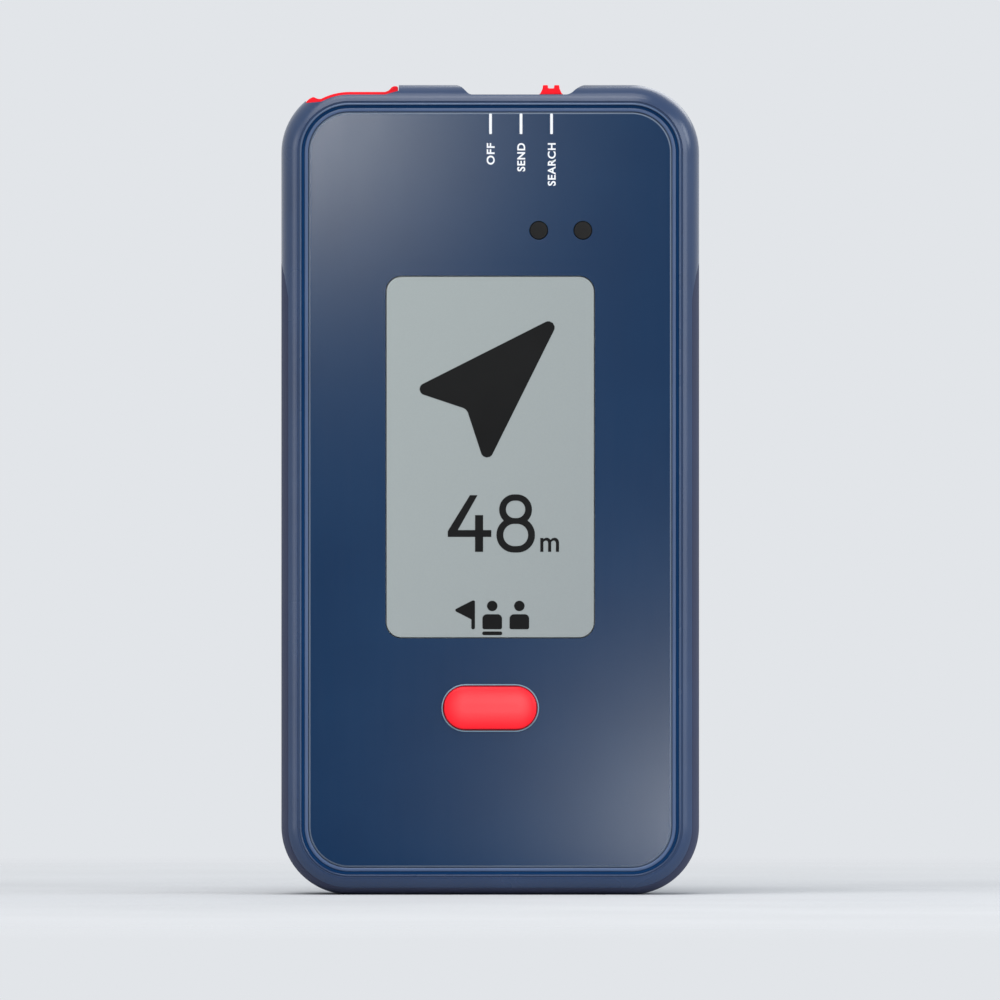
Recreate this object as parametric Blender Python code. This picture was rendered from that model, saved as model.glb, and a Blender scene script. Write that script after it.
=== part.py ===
# Avalanche transceiver: a hand-held radio beacon in a two-shell case.
# Metres, +Z up. The front faces -Y, and the part stands on the flat bottom of its grip band.
import math

import bmesh
import bpy
from mathutils import Matrix, Vector

for old_object in list(bpy.data.objects):
    bpy.data.objects.remove(old_object, do_unlink=True)

# Driving dimensions: clearances
FIT_GAP = 0.0003
BAND_GAP = 0.00015
SOLDER_GAP = 0.0001
WELD_DISTANCE = 0.000002

# Driving dimensions: case
CASE_WIDTH = 0.0640
CASE_HEIGHT = 0.1240
CORNER_RADIUS = 0.0104
CREST_Y = -0.0117
FRONT_EDGE_INSET = 0.0030
FRONT_EDGE_DEPTH = 0.0045
REAR_EDGE_INSET = 0.0032
REAR_EDGE_DEPTH = 0.0047
WALL_INSET = 0.0034
FLOOR_THICKNESS = 0.0015
PARTING_BEHIND_BOARD = 0.0082
SEAL_WIDTH = 0.0005
SEAL_HEIGHT = 0.0009
SEAL_INSET = 0.0024

# Driving dimensions: grip band
BAND_THICKNESS = 0.00125
BAND_FRONT_LAP = 0.0033
BAND_REAR_LAP = 0.0023
BAND_TOP_FRONT = 0.0914
BAND_TOP_REAR = 0.0968

# Driving dimensions: top recesses
RECESS_DEPTH = 0.0015
RECESS_SLOPE = 0.0015
SHOULDER_SIDE_INSET = 0.0037
SHOULDER_LENGTH = 0.0143
SHOULDER_END_DROP = 0.00285
SHOULDER_RAMP = 0.0021
SHOULDER_RAMP_RISE = 0.0006

# Driving dimensions: front panel and rim
PANEL_INSET = 0.00433
PANEL_SETBACK = 0.0002
PANEL_THICKNESS = 0.0012
RIM_WIDTH = 0.00058
RIM_SETBACK = 0.0001

# Driving dimensions: display
DISPLAY_WIDTH = 0.03175
DISPLAY_HEIGHT = 0.0552
DISPLAY_CORNER = 0.0023
DISPLAY_DROP = 0.0570
LENS_SETBACK = 0.00005
GLASS_BORDER = 0.0022
GLASS_THICKNESS = 0.0018
BACKLIGHT_THICKNESS = 0.0014
FRAME_WALL = 0.0018
FRAME_FLOOR = 0.0006
STRIP_WIDTH = 0.0024
STRIP_LENGTH = 0.0300

# Driving dimensions: status lamps
LAMP_RADIUS = 0.00142
LAMP_ABOVE_DISPLAY = 0.0071
LAMP_MIDDLE_X = 0.0108
LAMP_PITCH = 0.00675
CHIP_LENGTH = 0.0016
CHIP_WIDTH = 0.0010
CHIP_HEIGHT = 0.0007

# Driving dimensions: action button
ACTION_WIDTH = 0.0144
ACTION_HEIGHT = 0.00675
ACTION_BELOW_DISPLAY = 0.0108
ACTION_PROUD = 0.0008
ACTION_EDGE = 0.0006
ACTION_TRAVEL = 0.0006
ACTION_FLANGE = 0.0010
ACTION_FLANGE_THICKNESS = 0.0008
ACTION_STEM_RADIUS = 0.0016
SWITCH_SIDE = 0.0060

# Driving dimensions: mode slider
SLIDER_PITCH = 0.00467
SLIDER_OFF_X = 0.00004
SLIDER_BASE = 0.0033
SLIDER_TOP = 0.0024
SLIDER_RIDGE = 0.0007
SLIDER_VALLEY = 0.0005
CONTROL_DEPTH = 0.0090
CONTROL_Y = -0.0025
STEM_WIDTH = 0.0018
STEM_DEPTH = 0.0022
STEM_SETBACK = 0.0022
CARRIAGE_LENGTH = 0.0070
CARRIAGE_DEPTH = 0.0060
CARRIAGE_HEIGHT = 0.0022
MAGNET_RADIUS = 0.0011
MAGNET_HEIGHT = 0.0011
LEAF_THICKNESS = 0.00025
LEAF_RIB = 0.0010

# Driving dimensions: shoulder button
SHOULDER_RISE = 0.00045
SHOULDER_LIP = 0.0006
SHOULDER_LIP_LENGTH = 0.0016
SHOULDER_HEIGHT = 0.0044
SHOULDER_FLANGE = 0.0010
SHOULDER_FLANGE_THICKNESS = 0.0011
SHOULDER_TRAVEL = 0.0008
SHOULDER_SWITCH_OFFSET = 0.0036
SHOULDER_SWITCH_HEIGHT = 0.0035
SHOULDER_SWITCH_DEPTH = 0.0044
PLUNGER_RADIUS = 0.0010
RETURN_SPRING_RADIUS = 0.0018
RETURN_SPRING_WIRE = 0.0004
RETURN_SPRING_LENGTH = 0.0040
RETURN_SPRING_TURNS = 4

# Driving dimensions: circuit board
BOARD_THICKNESS = 0.0016
BOARD_CLEARANCE = 0.0019
BOARD_EDGE_GAP = 0.0008
BOARD_BOTTOM_GAP = 0.0039
HALL_SIZE = 0.0016
HALL_DROP = 0.0012
PROCESSOR_SIDE = 0.0090
PROCESSOR_HEIGHT = 0.0010
SHIELD_WIDTH = 0.0180
SHIELD_LENGTH = 0.0100
SHIELD_HEIGHT = 0.0025
SHIELD_WALL = 0.0003

# Driving dimensions: screws and bosses
BOSS_INSET = 0.0080
BOSS_RISE = 0.0115
BOSS_RADIUS = 0.00275
SCREW_RADIUS = 0.0011
SCREW_HEAD_RADIUS = 0.0022
SCREW_HEAD_HEIGHT = 0.0014
SCREW_BITE = 0.0065
SCREW_SINK = 0.0005
BOARD_POST_RADIUS = 0.0022
BOARD_SCREW_RADIUS = 0.0008
BOARD_SCREW_HEAD = 0.0017
BOARD_SCREW_HEAD_HEIGHT = 0.0011

# Driving dimensions: antennas and speaker
ROD_RADIUS = 0.0025
COIL_WALL = 0.0009
LONG_COIL_END = 0.0060
CROSS_ROD_LENGTH = 0.0460
CROSS_COIL_LENGTH = 0.0340
CROSS_DROP = 0.0200
THIRD_RADIUS = 0.0090
THIRD_HEIGHT = 0.0050
THIRD_CORE_RADIUS = 0.0040
SPEAKER_RADIUS = 0.0100
SPEAKER_DEPTH = 0.0050
SPEAKER_MAGNET_RADIUS = 0.0060
SPEAKER_MAGNET_DEPTH = 0.0025
SPEAKER_CONE_DEPTH = 0.0005
SPEAKER_X = -0.0060
GRILLE_SLOTS = 5
GRILLE_SLOT_WIDTH = 0.0012
GRILLE_PITCH = 0.0026
GRILLE_LENGTH = 0.0110

# Driving dimensions: battery bay and door
CELL_RADIUS = 0.00525
CELL_LENGTH = 0.0437
CELL_NUB_RADIUS = 0.0019
CELL_NUB_HEIGHT = 0.0008
CELL_SPACING = 0.0110
CELL_COUNT = 3
BAY_WALL = 0.0012
BAY_RISE = 0.0120
CONTACT_LENGTH = 0.0040
CONTACT_THICKNESS = 0.0005
CONTACT_SPRING_RADIUS = 0.0026
CONTACT_SPRING_WIRE = 0.0005
CONTACT_SPRING_TURNS = 3
DOOR_THICKNESS = 0.0018
DOOR_LAP = 0.0025
LEDGE_THICKNESS = 0.0018
DOOR_SEAL_WIDTH = 0.0008
DOOR_SEAL_HEIGHT = 0.0008
DOOR_CORNER = 0.0030
HINGE_RISE = 0.0076
HINGE_RADIUS = 0.0014
HINGE_PIN_RADIUS = 0.0006
HINGE_LENGTH = 0.0280
HINGE_PIN_HOLD = 0.0025
HINGE_SWEEP = 0.0005
LOCK_RADIUS = 0.0040
LOCK_HEAD_HEIGHT = 0.0007
LOCK_SINK = 0.0002
LOCK_SHAFT_RADIUS = 0.0020
LOCK_SLOT_WIDTH = 0.0013
LOCK_SLOT_LENGTH = 0.0064
LOCK_SLOT_DEPTH = 0.0004
CAM_HUB_RADIUS = 0.0034
CAM_REACH = 0.0075
CAM_WIDTH = 0.0042
CAM_THICKNESS = 0.0012

# Facet counts
CORNER_STEPS = 8
EDGE_STEPS = 6
ROUND_STEPS = 24
SMALL_ROUND_STEPS = 14
RAMP_STEPS = 6
SPRING_SIDES = 6
SPRING_STEPS = 10

# Places along Y, stacked from the front crest to the back face
panel_front = CREST_Y + PANEL_SETBACK
panel_back = panel_front + PANEL_THICKNESS
floor_front = panel_back + FIT_GAP
floor_back = floor_front + FLOOR_THICKNESS
glass_front = floor_front
glass_back = glass_front + GLASS_THICKNESS
frame_front = floor_back + FIT_GAP
backlight_front = glass_back + FIT_GAP
backlight_back = backlight_front + BACKLIGHT_THICKNESS
frame_back = backlight_back + FIT_GAP + FRAME_FLOOR
board_front = frame_back + FIT_GAP
board_back = board_front + BOARD_THICKNESS
bay_floor_front = board_back + BOARD_CLEARANCE
bay_floor_back = bay_floor_front + BAY_WALL
cell_y = bay_floor_back + FIT_GAP + CELL_RADIUS
door_inner = cell_y + CELL_RADIUS + FIT_GAP
back_y = door_inner + DOOR_THICKNESS
ledge_y = door_inner - FIT_GAP
parting_y = board_back + PARTING_BEHIND_BOARD
edge_front = CREST_Y + FRONT_EDGE_DEPTH
edge_rear = back_y - REAR_EDGE_DEPTH
band_front = edge_front - BAND_FRONT_LAP
band_rear = edge_rear + BAND_REAR_LAP

# Places across the case
case_half = CASE_WIDTH / 2
inner_half = case_half - WALL_INSET
wall_top = CASE_HEIGHT - WALL_INSET
recess_floor = CASE_HEIGHT - RECESS_DEPTH
corner_x = case_half - CORNER_RADIUS
corner_z = CASE_HEIGHT - CORNER_RADIUS
boss_x = case_half - BOSS_INSET
boss_low = BOSS_RISE
boss_high = CASE_HEIGHT - BOSS_RISE
past_case = CASE_WIDTH

# Places of the display, the lamps and the action button
display_z = CASE_HEIGHT - DISPLAY_DROP
display_top = display_z + DISPLAY_HEIGHT / 2
display_bottom = display_z - DISPLAY_HEIGHT / 2
glass_width = DISPLAY_WIDTH + 2 * GLASS_BORDER
glass_height = DISPLAY_HEIGHT + 2 * GLASS_BORDER
frame_width = glass_width + 2 * FIT_GAP + 2 * FRAME_WALL
frame_height = glass_height + 2 * FIT_GAP + 2 * FRAME_WALL
glass_bottom = display_z - glass_height / 2
lamp_z = display_top + LAMP_ABOVE_DISPLAY
lamp_left_x = LAMP_MIDDLE_X - LAMP_PITCH / 2
lamp_right_x = LAMP_MIDDLE_X + LAMP_PITCH / 2
action_z = display_bottom - ACTION_BELOW_DISPLAY

# Places of the slider: it rests at its third place
slider_x = SLIDER_OFF_X + 2 * SLIDER_PITCH
control_front = CONTROL_Y - CONTROL_DEPTH / 2
control_back = CONTROL_Y + CONTROL_DEPTH / 2
slider_recess_left = SLIDER_OFF_X - SLIDER_BASE / 2 - 4 * FIT_GAP
slider_recess_right = slider_x + SLIDER_BASE / 2 + FIT_GAP / 2
carriage_front = CONTROL_Y - CARRIAGE_DEPTH / 2
carriage_back = CONTROL_Y + CARRIAGE_DEPTH / 2
carriage_top = wall_top - FIT_GAP
carriage_bottom = carriage_top - CARRIAGE_HEIGHT
stem_y = CONTROL_Y - CARRIAGE_DEPTH / 2 + STEM_SETBACK - STEM_DEPTH / 2 + FIT_GAP
magnet_y = carriage_back - 2 * FIT_GAP - MAGNET_RADIUS
leaf_front = carriage_back + FIT_GAP
leaf_back = leaf_front + LEAF_THICKNESS
leaf_left = SLIDER_OFF_X - CARRIAGE_LENGTH / 2 - FIT_GAP
leaf_right = slider_x + CARRIAGE_LENGTH / 2 + FIT_GAP

# Places of the shoulder button
shoulder_left = SHOULDER_SIDE_INSET - case_half
shoulder_right = shoulder_left + SHOULDER_LENGTH
shoulder_bottom = recess_floor + SHOULDER_RISE - SHOULDER_HEIGHT
shoulder_switch_x = shoulder_right - SHOULDER_SWITCH_OFFSET
shoulder_switch_y = board_back + SOLDER_GAP + SHOULDER_SWITCH_DEPTH / 2
return_spring_bottom = shoulder_bottom - FIT_GAP - RETURN_SPRING_LENGTH
shoulder_switch_top = return_spring_bottom - FIT_GAP

# Places on the board
board_top = shoulder_bottom - SHOULDER_TRAVEL - FIT_GAP * 3
board_half = inner_half - BOARD_EDGE_GAP
board_neck_half = boss_x - BOSS_RADIUS - 2 * FIT_GAP
board_wide_low = boss_low + BOSS_RADIUS + 2 * FIT_GAP
board_wide_high = boss_high - BOSS_RADIUS - 2 * FIT_GAP
board_low = WALL_INSET + BOARD_BOTTOM_GAP
post_x = (frame_width / 2 + inner_half) / 2
post_places = ((post_x, display_z), (-post_x, board_wide_low + BOARD_POST_RADIUS + FIT_GAP))
coil_radius = ROD_RADIUS + FIT_GAP + COIL_WALL
antenna_y = board_back + FIT_GAP + coil_radius
cross_z = CASE_HEIGHT - CROSS_DROP
long_low = post_places[1][1] + BOARD_POST_RADIUS + 2 * FIT_GAP
long_high = cross_z - coil_radius - 2 * FIT_GAP

# Places of the battery bay and the door
bay_half = (CELL_COUNT - 1) * CELL_SPACING / 2 + CELL_RADIUS + 2 * FIT_GAP
bay_low = BAY_RISE
contact_stack = CONTACT_LENGTH + CONTACT_THICKNESS + 3 * FIT_GAP
bay_high = bay_low + CELL_LENGTH + CELL_NUB_HEIGHT + contact_stack + FIT_GAP
door_half = bay_half + DOOR_LAP
hinge_y = back_y - HINGE_RADIUS
hinge_pocket = HINGE_RADIUS + FIT_GAP
door_low = HINGE_RISE + 2 * HINGE_RADIUS - FIT_GAP
lock_z = bay_high + BAY_WALL + DOOR_SEAL_WIDTH + LOCK_RADIUS
door_high = lock_z + LOCK_RADIUS + 3 * FIT_GAP
lock_pocket_half = CAM_REACH + 3 * FIT_GAP
lock_pocket_low = lock_z - LOCK_RADIUS
lock_pocket_high = lock_z + CAM_REACH + 3 * FIT_GAP
cam_back = door_inner - FIT_GAP
cam_front = cam_back - CAM_THICKNESS
lock_shaft_end = cam_front - FIT_GAP
lock_pocket_floor = lock_shaft_end - FIT_GAP
ledge_half = door_half + FIT_GAP + BAY_WALL
antenna_x = -(bay_half + BAY_WALL + inner_half) / 2
speaker_z = lock_pocket_high + BAY_WALL + SPEAKER_RADIUS + 2 * FIT_GAP
third_x = bay_half - THIRD_RADIUS + 3 * BAY_WALL
third_z = cross_z - coil_radius - 2 * FIT_GAP - THIRD_RADIUS

MATERIALS = {
    "navy_shell": ((0.060, 0.095, 0.160), 0.45, 0.0),
    "grip_rubber": ((0.085, 0.095, 0.140), 0.75, 0.0),
    "navy_panel": ((0.020, 0.050, 0.105), 0.12, 0.0),
    "display_grey": ((0.400, 0.440, 0.440), 0.35, 0.0),
    "smoke_lens": ((0.025, 0.025, 0.027), 0.15, 0.0),
    "signal_red": ((0.900, 0.025, 0.035), 0.40, 0.0),
    "glass": ((0.550, 0.600, 0.570), 0.08, 0.0),
    "white_plastic": ((0.800, 0.800, 0.780), 0.45, 0.0),
    "black_plastic": ((0.030, 0.030, 0.032), 0.50, 0.0),
    "board_green": ((0.020, 0.140, 0.060), 0.40, 0.0),
    "steel": ((0.560, 0.560, 0.550), 0.30, 1.0),
    "ferrite": ((0.070, 0.065, 0.062), 0.60, 0.0),
    "copper": ((0.720, 0.330, 0.150), 0.30, 1.0),
    "cell_wrap": ((0.120, 0.130, 0.150), 0.35, 0.0),
    "seal_rubber": ((0.050, 0.050, 0.050), 0.80, 0.0),
    "led_yellow": ((0.850, 0.750, 0.350), 0.30, 0.0),
}


def get_material(name):
    """The named finish, made the first time it is asked for."""
    if name in bpy.data.materials:
        return bpy.data.materials[name]
    colour, roughness, metallic = MATERIALS[name]
    material = bpy.data.materials.new(name)
    material.use_nodes = True
    shader = material.node_tree.nodes["Principled BSDF"]
    shader.inputs["Base Color"].default_value = (*colour, 1.0)
    shader.inputs["Roughness"].default_value = roughness
    shader.inputs["Metallic"].default_value = metallic
    return material


def finish_mesh(name, bm, material):
    """Turn a bmesh into a named object with outward faces and smooth round stretches."""
    bmesh.ops.remove_doubles(bm, verts=bm.verts, dist=WELD_DISTANCE)
    bmesh.ops.recalc_face_normals(bm, faces=bm.faces)
    mesh = bpy.data.meshes.new(name)
    bm.to_mesh(mesh)
    bm.free()
    mesh.shade_smooth()
    mesh.set_sharp_from_angle(angle=math.radians(35))
    piece = bpy.data.objects.new(name, mesh)
    bpy.context.scene.collection.objects.link(piece)
    piece.data.materials.append(get_material(material))
    return piece


def skin(name, loops, material, closed=False):
    """Faces between loops of equal count; the two ends are capped, or joined when closed."""
    bm = bmesh.new()
    rings = []
    for loop in loops:
        rings.append([bm.verts.new(point) for point in loop])
    pairs = list(zip(rings, rings[1:]))
    if closed:
        pairs.append((rings[-1], rings[0]))
    for first, second in pairs:
        for index in range(len(first)):
            after = (index + 1) % len(first)
            bm.faces.new((first[index], first[after], second[after], second[index]))
    if not closed:
        bm.faces.new(rings[0])
        bm.faces.new(rings[-1])
    return finish_mesh(name, bm, material)


def rounded_rectangle(width, height, radius, centre_x, centre_z):
    """Points (x, z) of a rounded rectangle, from the right side round by the top."""
    points = []
    signs = ((1, 1), (-1, 1), (-1, -1), (1, -1))
    for quarter, (side, rise) in enumerate(signs):
        arc_x = centre_x + side * (width / 2 - radius)
        arc_z = centre_z + rise * (height / 2 - radius)
        for step in range(CORNER_STEPS + 1):
            angle = math.pi / 2 * (quarter + step / CORNER_STEPS)
            points.append((arc_x + radius * math.cos(angle), arc_z + radius * math.sin(angle)))
    return points


def at_depth(points, y):
    """Points (x, z) placed at one depth."""
    return [(x, y, z) for x, z in points]


def case_loop(inset, y):
    """The case's outline, drawn in by an inset, at one depth."""
    points = rounded_rectangle(CASE_WIDTH - 2 * inset, CASE_HEIGHT - 2 * inset,
                               CORNER_RADIUS - inset, 0.0, CASE_HEIGHT / 2)
    return at_depth(points, y)


def case_ring(name, section, material):
    """A ring round the case from a closed section of (inset, y) points."""
    loops = [case_loop(inset, y) for inset, y in section]
    return skin(name, loops, material, closed=True)


def plate(name, outline, front, back, material):
    """An outline (x, z) extruded from front to back."""
    return skin(name, [at_depth(outline, front), at_depth(outline, back)], material)


def block(name, low, high, material):
    """A box between two corners."""
    outline = [(low[0], low[2]), (high[0], low[2]), (high[0], high[2]), (low[0], high[2])]
    return plate(name, outline, low[1], high[1], material)


def side_prism(name, outline, left, right, material):
    """An outline (y, z) extruded from left to right."""
    loops = []
    for x in (left, right):
        loops.append([(x, y, z) for y, z in outline])
    return skin(name, loops, material)


def circle(centre, axis, radius, steps):
    """A circle of points round an axis named X, Y or Z."""
    spokes = {"X": ((0, 1, 0), (0, 0, 1)), "Y": ((0, 0, 1), (1, 0, 0)), "Z": ((1, 0, 0), (0, 1, 0))}
    first, second = (Vector(spoke) for spoke in spokes[axis])
    points = []
    for step in range(steps):
        angle = 2 * math.pi * step / steps
        points.append(Vector(centre) + radius * (math.cos(angle) * first + math.sin(angle) * second))
    return points


def turned(name, axis, base, profile, material, steps=ROUND_STEPS, closed=False):
    """A turned piece from (distance along the axis, radius) points that start at base."""
    direction = {"X": Vector((1, 0, 0)), "Y": Vector((0, 1, 0)), "Z": Vector((0, 0, 1))}[axis]
    loops = []
    for distance, radius in profile:
        loops.append(circle(Vector(base) + distance * direction, axis, radius, steps))
    return skin(name, loops, material, closed)


def tube(name, axis, base, length, inner, outer, material, steps=ROUND_STEPS):
    """A plain tube with a bore."""
    profile = [(0, inner), (0, outer), (length, outer), (length, inner)]
    return turned(name, axis, base, profile, material, steps, closed=True)


def coil_spring(name, base, radius, wire, length, turns, material):
    """A round wire wound up from base along +Z; length is over the wire's outside."""
    loops = []
    count = turns * SPRING_STEPS
    for step in range(count + 1):
        angle = 2 * math.pi * step / SPRING_STEPS
        outward = Vector((math.cos(angle), math.sin(angle), 0))
        rise = wire / 2 + (length - wire) * step / count
        centre = Vector(base) + radius * outward + Vector((0, 0, rise))
        loop = []
        for side in range(SPRING_SIDES):
            turn = 2 * math.pi * side / SPRING_SIDES
            spoke = math.cos(turn) * outward + math.sin(turn) * Vector((0, 0, 1))
            loop.append(centre + wire / 2 * spoke)
        loops.append(loop)
    return skin(name, loops, material)


def combine(piece, tool, operation):
    """Apply a Boolean of one tool to a piece, then drop the tool."""
    modifier = piece.modifiers.new(operation.lower(), "BOOLEAN")
    modifier.operation = operation
    modifier.object = tool
    bpy.context.view_layer.update()
    evaluated = piece.evaluated_get(bpy.context.evaluated_depsgraph_get())
    result = bpy.data.meshes.new_from_object(evaluated)
    piece.modifiers.clear()
    piece.data = result
    bm = bmesh.new()
    bm.from_mesh(result)
    bmesh.ops.remove_doubles(bm, verts=bm.verts, dist=WELD_DISTANCE)
    bmesh.ops.dissolve_degenerate(bm, edges=bm.edges, dist=WELD_DISTANCE)
    bm.to_mesh(result)
    bm.free()
    bpy.data.objects.remove(tool, do_unlink=True)


def cut(piece, *tools):
    """Take each tool's shape away from a piece."""
    for tool in tools:
        combine(piece, tool, "DIFFERENCE")


def fuse(piece, *tools):
    """Add each tool's shape to a piece."""
    for tool in tools:
        combine(piece, tool, "UNION")


def set_origin(piece, point):
    """Move a piece's origin to a point on its joint without moving its shape."""
    piece.data.transform(Matrix.Translation(-Vector(point)))
    piece.location = point


def outline_height(x, inset):
    """The height of the case's top outline, drawn in by an inset, at a place on its left half."""
    radius = CORNER_RADIUS - inset
    if x >= -corner_x:
        return CASE_HEIGHT - inset
    return corner_z + math.sqrt(radius ** 2 - (x + corner_x) ** 2)


def shoulder_curve(left, right, inset):
    """Points (x, z) along the left top shoulder from right to left at one inset."""
    places = [right, (right - corner_x) / 2]
    for step in range(CORNER_STEPS + 1):
        places.append(-corner_x + (left + corner_x) * step / CORNER_STEPS)
    return [(x, outline_height(x, inset)) for x in places]


def recess_ramp(start, side):
    """Points (x, z) from a recess floor up to the pad beside it, with a round foot and brow."""
    points = []
    for step in range(RAMP_STEPS + 1):
        share = step / RAMP_STEPS
        rise = RECESS_DEPTH * (1 - math.cos(math.pi * share)) / 2
        points.append((start + side * RECESS_SLOPE * share, recess_floor + rise))
    return points


def top_recess_cutters():
    """The slider's recess with sloped ends, and the shoulder recess that follows the outline to raised ends."""
    over = CASE_HEIGHT + RECESS_DEPTH
    right_ramp = recess_ramp(slider_recess_right, 1)
    left_ramp = recess_ramp(slider_recess_left, -1)
    slider_outline = right_ramp + [(right_ramp[-1][0], over), (left_ramp[-1][0], over)] + left_ramp[::-1]
    lowest = CASE_HEIGHT - SHOULDER_END_DROP
    shoulder_floor = shoulder_curve(shoulder_left, shoulder_right - SHOULDER_RAMP, RECESS_DEPTH)
    shoulder_outline = [(shoulder_right, recess_floor + SHOULDER_RAMP_RISE)]
    shoulder_outline += [(x, max(z, lowest)) for x, z in shoulder_floor]
    shoulder_outline += [(shoulder_left, over), (shoulder_right, over)]
    return (
        plate("slider_recess", slider_outline, -past_case, past_case, "navy_shell"),
        plate("shoulder_recess", shoulder_outline, -past_case, past_case, "navy_shell"),
    )


def cut_band_end(ring, gap):
    """Slice a ring off at the band's upper ends, which slant up over the front edge; a gap moves the cut out."""
    slope = (BAND_TOP_REAR - BAND_TOP_FRONT) / (edge_front - band_front)
    brow = (edge_front - gap, BAND_TOP_REAR + gap)
    foot = (brow[0] - BAND_FRONT_LAP * 2, brow[1] - slope * BAND_FRONT_LAP * 2)
    above = CASE_HEIGHT * 2
    end = [foot, brow, (past_case, brow[1]), (past_case, above), (foot[0], above)]
    cut(ring, side_prism("band_end", end, -past_case, past_case, "grip_rubber"))


def make_grip_band():
    section = [(BAND_THICKNESS, band_front), (BAND_THICKNESS, band_rear)]
    for step in range(EDGE_STEPS + 1):
        y = band_rear + (edge_rear - band_rear) * step / EDGE_STEPS
        share = (y - edge_rear) / REAR_EDGE_DEPTH
        section.append((REAR_EDGE_INSET * (1 - math.sqrt(1 - share ** 2)), y))
    for step in range(EDGE_STEPS + 1):
        y = edge_front + (band_front - edge_front) * step / EDGE_STEPS
        share = (edge_front - y) / FRONT_EDGE_DEPTH
        section.append((FRONT_EDGE_INSET * (1 - math.sqrt(1 - share ** 2)), y))
    cut_band_end(case_ring("grip_band", section, "grip_rubber"), 0.0)


def band_seat_cutter():
    """The seat that the band lies in: deeper and longer than the band by its gap."""
    inner = BAND_THICKNESS + BAND_GAP
    front = band_front - BAND_GAP
    rear = band_rear + BAND_GAP
    outer = -RECESS_DEPTH
    section = [(inner, front), (inner, rear), (outer, rear), (outer, front)]
    seat = case_ring("band_seat", section, "navy_shell")
    cut_band_end(seat, BAND_GAP)
    return seat


def boss_places():
    """The four case screws, as (x, z)."""
    return [(side * boss_x, z) for z in (boss_low, boss_high) for side in (-1, 1)]


def make_front_shell():
    loops = [
        case_loop(WALL_INSET, floor_back),
        case_loop(WALL_INSET, parting_y),
        case_loop(0.0, parting_y),
    ]
    for step in range(EDGE_STEPS + 1):
        angle = math.pi / 2 * step / EDGE_STEPS
        inset = FRONT_EDGE_INSET * (1 - math.cos(angle))
        loops.append(case_loop(inset, edge_front - FRONT_EDGE_DEPTH * math.sin(angle)))
    bed_inset = FRONT_EDGE_INSET + SOLDER_GAP
    loops.append(case_loop(bed_inset, CREST_Y))
    loops.append(case_loop(bed_inset, floor_front))
    shell = skin("front_shell", loops, "navy_shell")
    boss_start = floor_back - FLOOR_THICKNESS / 2
    for x, z in boss_places():
        length = parting_y - FIT_GAP - boss_start
        fuse(shell, turned("boss", "Y", (x, boss_start, z), [(0, BOSS_RADIUS), (length, BOSS_RADIUS)],
                           "navy_shell", SMALL_ROUND_STEPS))
        hole = [(0, SCREW_RADIUS + FIT_GAP / 2), (2 * SCREW_BITE, SCREW_RADIUS + FIT_GAP / 2)]
        base = (x, parting_y - SCREW_BITE - FIT_GAP, z)
        cut(shell, turned("screw_hole", "Y", base, hole, "navy_shell", SMALL_ROUND_STEPS))
    for x, z in post_places:
        length = board_front - FIT_GAP - boss_start
        post = [(0, BOARD_POST_RADIUS), (length, BOARD_POST_RADIUS)]
        fuse(shell, turned("post", "Y", (x, boss_start, z), post, "navy_shell", SMALL_ROUND_STEPS))
        radius = BOARD_SCREW_RADIUS + FIT_GAP / 2
        hole = [(0, radius), (2 * length, radius)]
        cut(shell, turned("post_hole", "Y", (x, floor_back, z), hole, "navy_shell", SMALL_ROUND_STEPS))
    rib_low = (leaf_left, leaf_back + FIT_GAP, carriage_bottom)
    rib_high = (leaf_right, leaf_back + FIT_GAP + LEAF_RIB, wall_top + FIT_GAP)
    fuse(shell, block("leaf_rib", rib_low, rib_high, "navy_shell"))
    cut(shell, *top_recess_cutters())
    cut(shell, band_seat_cutter())
    groove_half = SEAL_WIDTH / 2 + FIT_GAP / 2
    groove_floor = parting_y - SEAL_HEIGHT + FIT_GAP / 2
    groove = [
        (SEAL_INSET - groove_half, groove_floor),
        (SEAL_INSET + groove_half, groove_floor),
        (SEAL_INSET + groove_half, parting_y + SEAL_HEIGHT),
        (SEAL_INSET - groove_half, parting_y + SEAL_HEIGHT),
    ]
    cut(shell, case_ring("seal_groove", groove, "navy_shell"))
    window = rounded_rectangle(glass_width + 2 * FIT_GAP, glass_height + 2 * FIT_GAP,
                               2 * FIT_GAP, 0.0, display_z)
    through = (panel_back, board_front)
    cut(shell, plate("window", window, *through, "navy_shell"))
    cut(shell, plate("action_hole", action_outline(FIT_GAP), *through, "navy_shell"))
    for x in (lamp_left_x, lamp_right_x):
        hole = [(0, LAMP_RADIUS + FIT_GAP / 2), (through[1] - through[0], LAMP_RADIUS + FIT_GAP / 2)]
        cut(shell, turned("lamp_hole", "Y", (x, through[0], lamp_z), hole, "navy_shell", ROUND_STEPS))
    slot_low = (SLIDER_OFF_X - STEM_WIDTH / 2 - FIT_GAP, stem_y - STEM_DEPTH / 2 - FIT_GAP,
                wall_top - RECESS_DEPTH)
    slot_high = (slider_x + STEM_WIDTH / 2 + FIT_GAP, stem_y + STEM_DEPTH / 2 + FIT_GAP,
                 CASE_HEIGHT + RECESS_DEPTH)
    cut(shell, block("slider_slot", slot_low, slot_high, "navy_shell"))
    port_low = (shoulder_left, control_front - FIT_GAP, shoulder_bottom - SHOULDER_TRAVEL - FIT_GAP)
    port_high = (shoulder_right, control_back + FIT_GAP, CASE_HEIGHT + RECESS_DEPTH)
    cut(shell, block("shoulder_port", port_low, port_high, "navy_shell"))
    return shell


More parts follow.
